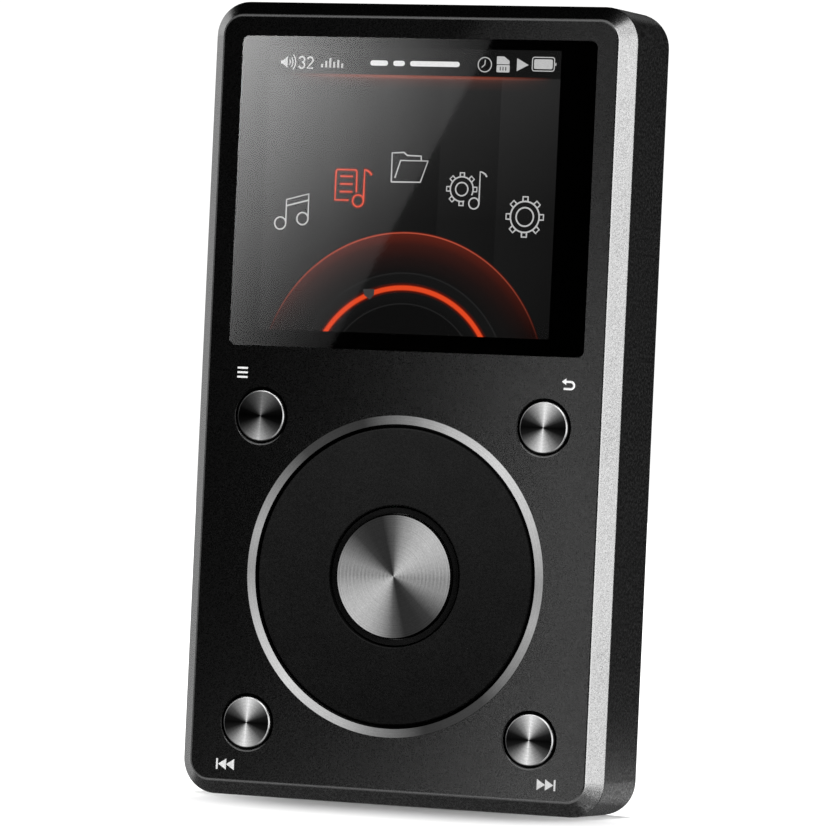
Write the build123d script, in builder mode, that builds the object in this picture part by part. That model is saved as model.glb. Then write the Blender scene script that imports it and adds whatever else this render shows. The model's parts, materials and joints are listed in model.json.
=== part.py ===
from build123d import *
import os

# Portable digital audio player, in millimetres.
# Z runs up the long side, X to the right of someone facing the front, and the front faces -Y.
# The origin is at the middle of the casing's bottom end.

# --- casing ---
HEIGHT = 109.0
WIDTH = 62.3
DEPTH = 15.3
FRONT = -DEPTH / 2
REAR = DEPTH / 2
CORNER_RADIUS = 4.8
BEVEL_FACE = 2.0            # the front bevel's width, seen from the front
BEVEL_SIDE = 2.2            # the front bevel's width, seen from the side
FRONT_EDGE_RADIUS = 0.3
BEVEL_EDGE_RADIUS = 0.2
BEVEL_END = (FRONT + BEVEL_SIDE - 0.01, FRONT + BEVEL_SIDE + 0.01)
REAR_EDGE_RADIUS = 1.9
WALL = 2.8
FRONT_WALL = 2.0
CAVITY_RADIUS = 2.2
CAVITY_FRONT = FRONT + FRONT_WALL
COVER_THICKNESS = 1.4
COVER_SEAT = REAR - COVER_THICKNESS
COVER_LEDGE = 0.65          # how far the cover laps over the walls
COVER_GAP = 0.05
MID_Z = HEIGHT / 2

# --- screws ---
SCREW_RADIUS = 0.75
SCREW_BORE = 0.80
HEAD_RADIUS = 1.4
HEAD_HEIGHT = 0.6
SINK_RADIUS = 1.6
SINK_GAP = 0.05
DRIVE_RADIUS = 0.7
DRIVE_DEPTH = 0.4
COVER_BOSS_RADIUS = 2.0
BOARD_BOSS_RADIUS = 1.7
COVER_SCREW_X = 26.8
COVER_SCREW_Z = (4.4, 104.6)
COVER_SCREW_LENGTH = 6.0
BOARD_SCREW_X = 26.2
BOARD_SCREW_LENGTH = 4.4
KEYPAD_SCREW_LENGTH = 3.4

# --- display ---
WINDOW_WIDTH = 52.4
WINDOW_HEIGHT = 42.5
WINDOW_Z = 82.95
WINDOW_RADIUS = 1.0
WINDOW_THICKNESS = 1.0
WINDOW_GAP = 0.05
WINDOW_LEDGE = 0.6
GASKET_THICKNESS = 0.15
GASKET_INSET = 0.1
LCD_X = -0.75
LCD_Z = 83.5
LCD_WIDTH = 44.0
LCD_HEIGHT = 40.0
LCD_FRONT = -6.35
LCD_THICKNESS = 1.2
BACKLIGHT_MARGIN = 0.4
BACKLIGHT_THICKNESS = 1.9
TRAY_WALL = 0.4
TRAY_GAP = 0.2
TRAY_FRONT = -5.55
FLEX_WIDTH = 12.0
FLEX_THICKNESS = 0.2
FLEX_BEND = 0.4
FLEX_FRONT = -3.9
FLEX_REAR = -0.9
FLEX_LOW = 60.6
CONNECTOR_LOW = 61.6
CONNECTOR_SIZE = (13.5, 2.4, 1.0)

# --- scroll wheel ---
WHEEL_Z = 31.08
WHEEL_RADIUS = 20.18
WHEEL_HOLE = 9.6
WHEEL_FRONT = FRONT + 0.05
WHEEL_THICKNESS = 1.5
WHEEL_EDGE = 0.2
HUB_RADIUS = 11.1
HUB_END = -5.2
RING_OUTER = 21.86
RING_INNER = 20.48
RING_FLANGE = 22.6
RING_FLANGE_THICKNESS = 0.6
RING_GAP = 0.04
SEAT_OUTER = 23.5
SEAT_INNER = 11.6
SEAT_THICKNESS = 0.6
ENCODER_RADIUS = 15.0
ENCODER_FRONT = -4.8
ENCODER_LIP = 11.2
ENCODER_BORE = 12.0
ENCODER_HOLE = 10.2
ENCODER_FLOOR = 0.5
ROTOR_RADIUS = 11.95
ROTOR_HOLE = 9.8
ROTOR_FLANGE = -4.3         # the rotor's flange turns under the base's lip
ROTOR_END = -3.0
LIP_REAR = -4.4

# --- front buttons ---
KEY_TRAVEL = 0.3
CENTRE_RADIUS = 8.48
CENTRE_PROUD = 0.1
CENTRE_CAP = 1.7
CENTRE_FLANGE = 8.78
CENTRE_EDGE = 0.15
GUIDE_OUTER = 9.35
GUIDE_LIP = 8.58
GUIDE_BORE = 8.88
GUIDE_FRONT = FRONT + 0.45
GUIDE_LIP_DEPTH = 1.0
KEY_RADIUS = 3.62
KEY_HOLE = 3.8
KEY_HOLE_EDGE = 0.15
KEY_EDGE = 0.25
KEY_PROUD = 0.15
KEY_FLANGE = 4.1
FLANGE_THICKNESS = 0.5
FLANGE_GAP = 0.2
KEY_X = 20.9
KEY_OFFSET_Z = 21.0
KEY_END = -3.9              # where the buttons' stems end
KEY_STEM = 1.8

# --- switches ---
SWITCH_SIZE = 4.4
SWITCH_RADIUS = 0.5
SWITCH_HEIGHT = 1.0
SWITCH_BORE = 1.3
PLUNGER_RADIUS = 1.2
PLUNGER_ENGAGED = 0.45
PLUNGER_GAP = 0.1           # left under the plunger when its button is fully pressed
SWITCH_BORE_DEPTH = PLUNGER_ENGAGED + KEY_TRAVEL + PLUNGER_GAP

# --- boards ---
BOARD_THICKNESS = 1.0
KEYPAD_FRONT = -2.2
KEYPAD_REAR = KEYPAD_FRONT + BOARD_THICKNESS
KEYPAD_HALF_WIDTH = 24.0
KEYPAD_Z = (4.2, 59.2)
KEYPAD_TAB = 27.3
KEYPAD_TAB_HEIGHT = 6.4
KEYPAD_BOSS_CIRCLE = 25.5
MAIN_FRONT = -0.4
MAIN_REAR = MAIN_FRONT + BOARD_THICKNESS
MAIN_HALF_WIDTH = 27.9
MAIN_Z = (3.4, 105.6)
BOARD_GAP = 0.4
SIDE_CUT_X = -24.2          # the main board stops here, beside the side buttons' board
LINK_Z = 44.0
LINK_SIZE = (12.0, 3.0)     # the connector between the two boards

# --- side buttons, on the left wall ---
SIDE_PROUD = 1.0
SIDE_LENGTH = 9.0
SIDE_BREADTH = 3.0
SIDE_GAP = 0.2
SIDE_EDGE = 0.4
SIDE_STEM = 1.0
SIDE_STEM_END = -27.1
SIDE_BOARD_X = -25.4
SIDE_BOARD_THICKNESS = 0.8
SIDE_BOARD_BREADTH = 8.0
SIDE_BOARD_Z = (65.0, 102.0)
SIDE_SWITCH_BORE = 0.9
SIDE_PLUNGER = 0.8
POWER_Z = 91.5
VOLUME_UP_Z = 80.5
VOLUME_DOWN_Z = 70.0
LIGHT_Z = 99.0
LIGHT_RADIUS = 0.8

SIDE_FLANGE = 0.6
SIDE_SWITCH_SIZE = (3.0, 4.2)
LED_SIZE = (1.0, 1.6)
LED_HEIGHT = 0.6
LED_GAP = 0.3

# --- components on the main board ---
CHIP_RADIUS = 0.2
PROCESSOR_PLACE = (-4.0, 78.0)
PROCESSOR_SIZE = 12.0
PROCESSOR_HEIGHT = 1.2
MEMORY_PLACES = [(-15.5, 74.0), (-15.5, 84.0)]
MEMORY_SIZE = 8.0
MEMORY_HEIGHT = 1.0
DAC_PLACE = (9.5, 88.0)
DAC_SIZE = 7.0
DAC_HEIGHT = 0.9
OSCILLATOR_PLACES = [(7.5, 78.0), (12.5, 78.0)]
OSCILLATOR_SIZE = (3.2, 2.5)
OSCILLATOR_HEIGHT = 1.1
SHIELD_X = -6.0
SHIELD_Z = 83.6
SHIELD_WIDTH = 28.0
SHIELD_HEIGHT = 14.0
SHIELD_DEPTH = 3.0
SHIELD_SHEET = 0.3
AMPLIFIER_PITCH = 7.0
AMPLIFIER_SIZE = (4.9, 6.0)
AMPLIFIER_HEIGHT = 1.0
CAPACITOR_PLACES = [(13.5, 81.5), (20.0, 81.5), (13.5, 88.0), (20.0, 88.0)]
CAPACITOR_SIZE = (4.3, 5.0)
CAPACITOR_HEIGHT = 2.8

# --- sockets ---
SOCKET_Y = 2.0
JACK_X = 17.0
JACK_BORE = 1.8
JACK_BORE_DEPTH = 14.0
JACK_COLLAR = 2.95
JACK_WIDTH = 6.6
JACK_DEPTH = 5.6
JACK_BASE = 93.0
JACK_CUT = JACK_WIDTH + 0.6
USB_WIDTH = 7.5
USB_THICKNESS = 2.7
USB_LENGTH = 5.6
USB_WALL = 0.3
USB_RADIUS = 0.7
USB_BASE = 0.3
USB_TONGUE = (3.7, 0.6)
CARD_X = 17.0
CARD_WIDTH = 11.3
CARD_THICKNESS = 0.9
CARD_Y = 1.35
CARD_SLOT_RADIUS = 0.4
CARD_SOCKET_LENGTH = 14.0
CARD_SOCKET_SIDE = 1.2
CARD_SOCKET_END = 1.0

# --- battery ---
BATTERY_WIDTH = 49.0
BATTERY_Z = (20.0, 74.0)
BATTERY_FRONT = 1.0
BATTERY_REAR = 5.85
BATTERY_RADIUS = 1.0
BATTERY_SIDE_RADIUS = 1.5
TAPE_SIZE = (44.0, 46.0)
FOAM_SIZE = (30.0, 40.0)
PLUG_LOW = 76.2
PLUG_TOP = 78.2
PLUG_WIDTH = 5.0
PLUG_HEIGHT = 2.4
LEAD_RADIUS = 0.4
LEAD_X = (15.4, 16.8)
LEAD_HIGH_Y = 3.4
LEAD_LOW_Y = 1.8
LEAD_STEP_Z = 75.1
LEAD_BEND = 0.5


def layer(y):
    """A plane across the casing at depth y: its x is X, its y is Z, and it extrudes to the front."""
    return Plane.XZ.offset(-y)


def round_profile(*points):
    """A closed half section in (radius, depth), to be turned about the wheel's axis."""
    with BuildSketch(Plane.XY.offset(WHEEL_Z)) as section:
        with BuildLine():
            Polyline(*points, close=True)
        make_face()
    return section.sketch


def key_place(side, end):
    """The (X, Z) of the small round button on side -1 or 1, at end -1 (lower) or 1 (upper)."""
    return (side * KEY_X, WHEEL_Z + end * KEY_OFFSET_Z)


def block(place, size, rear, thickness):
    """A flat component at (X, Z), with slightly rounded corners and its back at depth rear."""
    with BuildPart() as component:
        with BuildSketch(layer(rear)):
            with Locations(place):
                RectangleRounded(*size, CHIP_RADIUS)
        extrude(amount=thickness)
    return component.part


WHEEL_AXIS = Axis((0, 0, WHEEL_Z), (0, 1, 0))
COVER_SCREWS = [(x, z) for x in (-COVER_SCREW_X, COVER_SCREW_X) for z in COVER_SCREW_Z]
MAIN_SCREWS = [
    (-BOARD_SCREW_X, 20.0), (BOARD_SCREW_X, 20.0),
    (-BOARD_SCREW_X, 60.5), (BOARD_SCREW_X, 60.5), (BOARD_SCREW_X, 90.0),
]
KEYPAD_SCREWS = [
    (KEYPAD_BOSS_CIRCLE, WHEEL_Z), (-KEYPAD_BOSS_CIRCLE, WHEEL_Z),
    (0, WHEEL_Z + KEYPAD_BOSS_CIRCLE), (0, WHEEL_Z - KEYPAD_BOSS_CIRCLE),
]
KEY_PLACES = [key_place(side, end) for side in (-1, 1) for end in (-1, 1)]
SIDE_PLACES = [(0, POWER_Z), (0, VOLUME_UP_Z), (0, VOLUME_DOWN_Z)]
SINK_DEPTH = SINK_RADIUS - SCREW_RADIUS

os.makedirs("parts", exist_ok=True)

# ---------------------------------------------------------------- casing

with BuildPart() as front_housing:
    with BuildSketch(layer(REAR)):
        with Locations((0, MID_Z)):
            RectangleRounded(WIDTH, HEIGHT, CORNER_RADIUS)
    extrude(amount=DEPTH)
    face = front_housing.faces().sort_by(Axis.Y)[0]
    chamfer(face.edges(), length=BEVEL_FACE, length2=BEVEL_SIDE, reference=face)
    # both edges of the bevel are broken, the front one a little more
    fillet(front_housing.faces().sort_by(Axis.Y)[0].edges(), FRONT_EDGE_RADIUS)
    fillet(front_housing.edges().filter_by_position(Axis.Y, *BEVEL_END), BEVEL_EDGE_RADIUS)
    fillet(front_housing.faces().sort_by(Axis.Y)[-1].edges(), REAR_EDGE_RADIUS)
    # the cavity, milled from the back, and the step that the rear cover drops into
    with BuildSketch(layer(REAR)):
        with Locations((0, MID_Z)):
            RectangleRounded(WIDTH - 2 * WALL, HEIGHT - 2 * WALL, CAVITY_RADIUS)
    extrude(amount=REAR - CAVITY_FRONT, mode=Mode.SUBTRACT)
    with BuildSketch(layer(REAR)):
        with Locations((0, MID_Z)):
            RectangleRounded(
                WIDTH - 2 * (WALL - COVER_LEDGE), HEIGHT - 2 * (WALL - COVER_LEDGE),
                CAVITY_RADIUS + COVER_LEDGE,
            )
    extrude(amount=COVER_THICKNESS, mode=Mode.SUBTRACT)
    # screw bosses, rooted in the front wall
    boss_root = FRONT_WALL / 4
    for places, radius, top in (
        (COVER_SCREWS, COVER_BOSS_RADIUS, COVER_SEAT),
        (MAIN_SCREWS, BOARD_BOSS_RADIUS, MAIN_FRONT),
        (KEYPAD_SCREWS, BOARD_BOSS_RADIUS, KEYPAD_FRONT),
    ):
        with BuildSketch(layer(top)):
            with Locations(*places):
                Circle(radius)
        extrude(amount=top - CAVITY_FRONT + boss_root)
    for places, top, length in (
        (COVER_SCREWS, COVER_SEAT, COVER_SCREW_LENGTH),
        (MAIN_SCREWS, MAIN_FRONT, BOARD_SCREW_LENGTH),
        (KEYPAD_SCREWS, KEYPAD_FRONT, KEYPAD_SCREW_LENGTH),
    ):
        with BuildSketch(layer(top)):
            with Locations(*places):
                Circle(SCREW_BORE)
        extrude(amount=length, mode=Mode.SUBTRACT)
    # display opening: a shallow pocket for the window, and a smaller hole through its floor
    with BuildSketch(layer(FRONT)):
        with Locations((0, WINDOW_Z)):
            RectangleRounded(WINDOW_WIDTH + 2 * WINDOW_GAP, WINDOW_HEIGHT + 2 * WINDOW_GAP, WINDOW_RADIUS)
    extrude(amount=-(WINDOW_THICKNESS + GASKET_THICKNESS), mode=Mode.SUBTRACT)
    with BuildSketch(layer(CAVITY_FRONT)):
        with Locations((0, WINDOW_Z)):
            Rectangle(WINDOW_WIDTH - 2 * WINDOW_LEDGE, WINDOW_HEIGHT - 2 * WINDOW_LEDGE)
    extrude(amount=FRONT_WALL, mode=Mode.SUBTRACT)
    # wheel opening, counterbored behind for the trim ring's flange
    with BuildSketch(layer(CAVITY_FRONT)):
        with Locations((0, WHEEL_Z)):
            Circle(RING_OUTER + RING_GAP)
    extrude(amount=FRONT_WALL, mode=Mode.SUBTRACT)
    with BuildSketch(layer(CAVITY_FRONT)):
        with Locations((0, WHEEL_Z)):
            Circle(RING_FLANGE + RING_GAP)
    extrude(amount=RING_FLANGE_THICKNESS, mode=Mode.SUBTRACT)
    # small round button holes, with a fine edge break
    with BuildSketch(layer(CAVITY_FRONT)):
        with Locations(*KEY_PLACES):
            Circle(KEY_HOLE)
    extrude(amount=FRONT_WALL, mode=Mode.SUBTRACT)
    key_rims = front_housing.edges().filter_by(GeomType.CIRCLE).group_by(Axis.Y)[0]
    chamfer(key_rims.filter_by(lambda edge: abs(edge.radius - KEY_HOLE) < KEY_HOLE_EDGE), KEY_HOLE_EDGE)
    # left wall: button slots and the light pipe's hole
    with BuildSketch(Plane.YZ.offset(-WIDTH / 2)):
        with Locations(*SIDE_PLACES):
            SlotOverall(SIDE_LENGTH + 2 * SIDE_GAP, SIDE_BREADTH + 2 * SIDE_GAP, rotation=90)
        with Locations((0, LIGHT_Z)):
            Circle(LIGHT_RADIUS + WINDOW_GAP)
    extrude(amount=WALL, mode=Mode.SUBTRACT)
    # top wall: the two jacks' collars
    with BuildSketch(Plane.XY.offset(HEIGHT - WALL)):
        with Locations((-JACK_X, SOCKET_Y), (JACK_X, SOCKET_Y)):
            Circle(JACK_COLLAR + RING_GAP)
    extrude(amount=WALL, mode=Mode.SUBTRACT)
    # bottom wall: the data port and the two card slots
    with BuildSketch(Plane.XY):
        with Locations((0, SOCKET_Y)):
            RectangleRounded(
                USB_WIDTH + 2 * SIDE_GAP, USB_THICKNESS + 2 * SIDE_GAP, USB_RADIUS + SIDE_GAP
            )
        with Locations((-CARD_X, CARD_Y), (CARD_X, CARD_Y)):
            RectangleRounded(
                CARD_WIDTH + 2 * SIDE_GAP, CARD_THICKNESS + 2 * SIDE_GAP, CARD_SLOT_RADIUS
            )
    extrude(amount=WALL, mode=Mode.SUBTRACT)
front_housing.part.label = "front_housing"
export_step(front_housing.part, "parts/front_housing.step")

cover_inset = WALL - COVER_LEDGE + COVER_GAP
with BuildPart() as rear_cover:
    with BuildSketch(layer(REAR)):
        with Locations((0, MID_Z)):
            RectangleRounded(
                WIDTH - 2 * cover_inset, HEIGHT - 2 * cover_inset,
                CAVITY_RADIUS + COVER_LEDGE - COVER_GAP,
            )
    extrude(amount=COVER_THICKNESS)
    with BuildSketch(layer(REAR)):
        with Locations(*COVER_SCREWS):
            Circle(SINK_RADIUS + SINK_GAP)
    extrude(amount=SINK_DEPTH, taper=45, mode=Mode.SUBTRACT)
    with BuildSketch(layer(REAR)):
        with Locations(*COVER_SCREWS):
            Circle(SCREW_BORE)
    extrude(amount=COVER_THICKNESS, mode=Mode.SUBTRACT)
rear_cover.part.label = "rear_cover"
export_step(rear_cover.part, "parts/rear_cover.step")

with BuildPart() as rear_cover_screws:
    with BuildSketch(layer(REAR)):
        with Locations(*COVER_SCREWS):
            Circle(SINK_RADIUS)
    extrude(amount=SINK_DEPTH, taper=45)
    with BuildSketch(layer(REAR - SINK_DEPTH)):
        with Locations(*COVER_SCREWS):
            Circle(SCREW_RADIUS)
    extrude(amount=COVER_SCREW_LENGTH)
    with BuildSketch(layer(REAR)):
        with Locations(*COVER_SCREWS):
            RegularPolygon(DRIVE_RADIUS, 6)
    extrude(amount=DRIVE_DEPTH, mode=Mode.SUBTRACT)
rear_cover_screws.part.label = "rear_cover_screws"
export_step(rear_cover_screws.part, "parts/rear_cover_screws.step")

# ---------------------------------------------------------------- display

with BuildPart() as display_window:
    with BuildSketch(layer(FRONT + WINDOW_THICKNESS)):
        with Locations((0, WINDOW_Z)):
            RectangleRounded(WINDOW_WIDTH, WINDOW_HEIGHT, WINDOW_RADIUS)
    extrude(amount=WINDOW_THICKNESS)
display_window.part.label = "display_window"
export_step(display_window.part, "parts/display_window.step")

with BuildPart() as window_gasket:
    with BuildSketch(layer(FRONT + WINDOW_THICKNESS + GASKET_THICKNESS)):
        with Locations((0, WINDOW_Z)):
            RectangleRounded(
                WINDOW_WIDTH - 2 * GASKET_INSET, WINDOW_HEIGHT - 2 * GASKET_INSET, WINDOW_RADIUS
            )
            Rectangle(
                WINDOW_WIDTH - 2 * WINDOW_LEDGE, WINDOW_HEIGHT - 2 * WINDOW_LEDGE, mode=Mode.SUBTRACT
            )
    extrude(amount=GASKET_THICKNESS)
window_gasket.part.label = "window_gasket"
export_step(window_gasket.part, "parts/window_gasket.step")

with BuildPart() as lcd_panel:
    with BuildSketch(layer(LCD_FRONT + LCD_THICKNESS)):
        with Locations((LCD_X, LCD_Z)):
            RectangleRounded(LCD_WIDTH, LCD_HEIGHT, CHIP_RADIUS)
    extrude(amount=LCD_THICKNESS)
lcd_panel.part.label = "lcd_panel"
export_step(lcd_panel.part, "parts/lcd_panel.step")

backlight_rear = LCD_FRONT + LCD_THICKNESS + BACKLIGHT_THICKNESS
with BuildPart() as lcd_backlight:
    with BuildSketch(layer(backlight_rear)):
        with Locations((LCD_X, LCD_Z)):
            RectangleRounded(
                LCD_WIDTH + 2 * BACKLIGHT_MARGIN, LCD_HEIGHT + 2 * BACKLIGHT_MARGIN, BACKLIGHT_MARGIN
            )
    extrude(amount=BACKLIGHT_THICKNESS)
lcd_backlight.part.label = "lcd_backlight"
export_step(lcd_backlight.part, "parts/lcd_backlight.step")

tray_inner = 2 * (BACKLIGHT_MARGIN + TRAY_GAP)
tray_outer = tray_inner + 2 * TRAY_WALL
tray_rear = backlight_rear + TRAY_WALL
with BuildPart() as lcd_tray:
    with BuildSketch(layer(tray_rear)):
        with Locations((LCD_X, LCD_Z)):
            RectangleRounded(LCD_WIDTH + tray_outer, LCD_HEIGHT + tray_outer, 2 * TRAY_WALL)
    extrude(amount=tray_rear - TRAY_FRONT)
    with BuildSketch(layer(backlight_rear)):
        with Locations((LCD_X, LCD_Z)):
            RectangleRounded(LCD_WIDTH + tray_inner, LCD_HEIGHT + tray_inner, TRAY_WALL)
    extrude(amount=backlight_rear - TRAY_FRONT, mode=Mode.SUBTRACT)
lcd_tray.part.label = "lcd_tray"
export_step(lcd_tray.part, "parts/lcd_tray.step")

# the display's ribbon leaves the tray's lower edge, steps back and rises into its connector
tray_low = LCD_Z - (LCD_HEIGHT + tray_outer) / 2
with BuildPart() as lcd_flex:
    with BuildSketch(Plane.YZ.offset(LCD_X - FLEX_WIDTH / 2)):
        with BuildLine():
            FilletPolyline(
                (FLEX_FRONT, tray_low), (FLEX_FRONT, FLEX_LOW), (FLEX_REAR, FLEX_LOW),
                (FLEX_REAR, CONNECTOR_LOW), radius=FLEX_BEND,
            )
        trace(line_width=FLEX_THICKNESS)
    extrude(amount=FLEX_WIDTH)
    # the ribbon ends square at the tray and at the connector
    with BuildSketch(Plane.YZ.offset(LCD_X - FLEX_WIDTH / 2)):
        with Locations((FLEX_FRONT, tray_low), (FLEX_REAR, CONNECTOR_LOW)):
            Rectangle(4 * FLEX_THICKNESS, FLEX_BEND, align=(Align.CENTER, Align.MIN))
    extrude(amount=FLEX_WIDTH, mode=Mode.SUBTRACT)
lcd_flex.part.label = "lcd_flex"
export_step(lcd_flex.part, "parts/lcd_flex.step")

with BuildPart() as lcd_connector:
    with BuildSketch(layer(MAIN_FRONT)):
        with Locations((LCD_X, CONNECTOR_LOW)):
            Rectangle(*CONNECTOR_SIZE[:2], align=(Align.CENTER, Align.MIN))
    extrude(amount=CONNECTOR_SIZE[2])
    chamfer(lcd_connector.edges().filter_by(Axis.X), KEY_HOLE_EDGE)
lcd_connector.part.label = "lcd_connector"
export_step(lcd_connector.part, "parts/lcd_connector.step")

# ---------------------------------------------------------------- scroll wheel

flange_front = CAVITY_FRONT - RING_FLANGE_THICKNESS
with BuildPart() as wheel_trim_ring:
    revolve(
        round_profile(
            (RING_INNER, FRONT), (RING_OUTER, FRONT), (RING_OUTER, flange_front),
            (RING_FLANGE, flange_front), (RING_FLANGE, CAVITY_FRONT), (RING_INNER, CAVITY_FRONT),
        ),
        axis=WHEEL_AXIS,
    )
    inner_rim = wheel_trim_ring.edges().group_by(Axis.Y)[0].sort_by(SortBy.LENGTH)[0]
    chamfer(inner_rim, WHEEL_EDGE)
wheel_trim_ring.part.label = "wheel_trim_ring"
export_step(wheel_trim_ring.part, "parts/wheel_trim_ring.step")

with BuildPart() as wheel_seat:
    with BuildSketch(layer(CAVITY_FRONT + SEAT_THICKNESS)):
        with Locations((0, WHEEL_Z)):
            Circle(SEAT_OUTER)
            Circle(SEAT_INNER, mode=Mode.SUBTRACT)
    extrude(amount=SEAT_THICKNESS)
wheel_seat.part.label = "wheel_seat"
export_step(wheel_seat.part, "parts/wheel_seat.step")

wheel_rear = WHEEL_FRONT + WHEEL_THICKNESS
with BuildPart() as scroll_wheel:
    revolve(
        round_profile(
            (WHEEL_HOLE, WHEEL_FRONT), (WHEEL_RADIUS, WHEEL_FRONT), (WHEEL_RADIUS, wheel_rear),
            (HUB_RADIUS, wheel_rear), (HUB_RADIUS, HUB_END), (WHEEL_HOLE, HUB_END),
        ),
        axis=WHEEL_AXIS,
    )
    fillet(scroll_wheel.edges().group_by(Axis.Y)[0], WHEEL_EDGE)
scroll_wheel.part.label = "scroll_wheel"
export_step(scroll_wheel.part, "parts/scroll_wheel.step")

with BuildPart() as encoder_rotor:
    revolve(
        round_profile(
            (ROTOR_HOLE, HUB_END), (HUB_RADIUS, HUB_END), (HUB_RADIUS, ROTOR_FLANGE),
            (ROTOR_RADIUS, ROTOR_FLANGE), (ROTOR_RADIUS, ROTOR_END), (ROTOR_HOLE, ROTOR_END),
        ),
        axis=WHEEL_AXIS,
    )
encoder_rotor.part.label = "encoder_rotor"
export_step(encoder_rotor.part, "parts/encoder_rotor.step")

encoder_floor = KEYPAD_FRONT - ENCODER_FLOOR
with BuildPart() as encoder_base:
    revolve(
        round_profile(
            (ENCODER_LIP, ENCODER_FRONT), (ENCODER_RADIUS, ENCODER_FRONT),
            (ENCODER_RADIUS, KEYPAD_FRONT), (ENCODER_HOLE, KEYPAD_FRONT),
            (ENCODER_HOLE, encoder_floor), (ENCODER_BORE, encoder_floor),
            (ENCODER_BORE, LIP_REAR), (ENCODER_LIP, LIP_REAR),
        ),
        axis=WHEEL_AXIS,
    )
encoder_base.part.label = "encoder_base"
export_step(encoder_base.part, "parts/encoder_base.step")

# ---------------------------------------------------------------- front buttons

centre_front = FRONT - CENTRE_PROUD
centre_cap_rear = centre_front + CENTRE_CAP
with BuildPart() as centre_button:
    revolve(
        round_profile(
            (0, centre_front), (CENTRE_RADIUS, centre_front), (CENTRE_RADIUS, centre_cap_rear),
            (CENTRE_FLANGE, centre_cap_rear), (CENTRE_FLANGE, centre_cap_rear + FLANGE_THICKNESS),
            (KEY_STEM, centre_cap_rear + FLANGE_THICKNESS), (KEY_STEM, KEY_END), (0, KEY_END),
        ),
        axis=WHEEL_AXIS,
    )
    chamfer(centre_button.edges().group_by(Axis.Y)[0], CENTRE_EDGE)
centre_button.part.label = "centre_button"
export_step(centre_button.part, "parts/centre_button.step")

guide_step = GUIDE_FRONT + GUIDE_LIP_DEPTH
with BuildPart() as centre_button_guide:
    revolve(
        round_profile(
            (GUIDE_LIP, GUIDE_FRONT), (GUIDE_OUTER, GUIDE_FRONT), (GUIDE_OUTER, KEYPAD_FRONT),
            (GUIDE_BORE, KEYPAD_FRONT), (GUIDE_BORE, guide_step), (GUIDE_LIP, guide_step),
        ),
        axis=WHEEL_AXIS,
    )
centre_button_guide.part.label = "centre_button_guide"
export_step(centre_button_guide.part, "parts/centre_button_guide.step")

# four small round buttons, one beyond each corner of the wheel
key_flange_front = CAVITY_FRONT + FLANGE_GAP
for name, (side, end) in {
    "menu_button": (-1, 1),
    "back_button": (1, 1),
    "previous_button": (-1, -1),
    "next_button": (1, -1),
}.items():
    with BuildPart() as round_button:
        with BuildSketch(layer(key_flange_front)):
            with Locations(key_place(side, end)):
                Circle(KEY_RADIUS)
        extrude(amount=key_flange_front - FRONT + KEY_PROUD)
        chamfer(round_button.edges().group_by(Axis.Y)[0], KEY_EDGE)
        with BuildSketch(layer(key_flange_front + FLANGE_THICKNESS)):
            with Locations(key_place(side, end)):
                Circle(KEY_FLANGE)
        extrude(amount=FLANGE_THICKNESS)
        with BuildSketch(layer(KEY_END)):
            with Locations(key_place(side, end)):
                Circle(KEY_STEM)
        extrude(amount=KEY_END - key_flange_front - FLANGE_THICKNESS)
    round_button.part.label = name
    export_step(round_button.part, f"parts/{name}.step")

# ---------------------------------------------------------------- keypad board and its switches

plunger_end = KEYPAD_FRONT - SWITCH_HEIGHT + PLUNGER_ENGAGED
for name, place in {
    "centre_switch_plunger": (0, WHEEL_Z),
    "menu_switch_plunger": key_place(-1, 1),
    "back_switch_plunger": key_place(1, 1),
    "previous_switch_plunger": key_place(-1, -1),
    "next_switch_plunger": key_place(1, -1),
}.items():
    with BuildPart() as plunger:
        with BuildSketch(layer(plunger_end)):
            with Locations(place):
                Circle(PLUNGER_RADIUS)
        extrude(amount=plunger_end - KEY_END)
    plunger.part.label = name
    export_step(plunger.part, f"parts/{name}.step")

with BuildPart() as key_switches:
    with BuildSketch(layer(KEYPAD_FRONT)):
        with Locations((0, WHEEL_Z), *KEY_PLACES):
            RectangleRounded(SWITCH_SIZE, SWITCH_SIZE, SWITCH_RADIUS)
    extrude(amount=SWITCH_HEIGHT)
    with BuildSketch(layer(KEYPAD_FRONT - SWITCH_HEIGHT + SWITCH_BORE_DEPTH)):
        with Locations((0, WHEEL_Z), *KEY_PLACES):
            Circle(SWITCH_BORE)
    extrude(amount=SWITCH_BORE_DEPTH, mode=Mode.SUBTRACT)
key_switches.part.label = "key_switches"
export_step(key_switches.part, "parts/key_switches.step")

keypad_height = KEYPAD_Z[1] - KEYPAD_Z[0]
with BuildPart() as keypad_board:
    with BuildSketch(layer(KEYPAD_REAR)):
        with Locations((0, KEYPAD_Z[0])):
            Rectangle(2 * KEYPAD_HALF_WIDTH, keypad_height, align=(Align.CENTER, Align.MIN))
        with Locations((0, WHEEL_Z)):
            RectangleRounded(2 * KEYPAD_TAB, KEYPAD_TAB_HEIGHT, BATTERY_RADIUS)
        with Locations(*KEYPAD_SCREWS):
            Circle(SCREW_BORE, mode=Mode.SUBTRACT)
    extrude(amount=BOARD_THICKNESS)
keypad_board.part.label = "keypad_board"
export_step(keypad_board.part, "parts/keypad_board.step")

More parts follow.
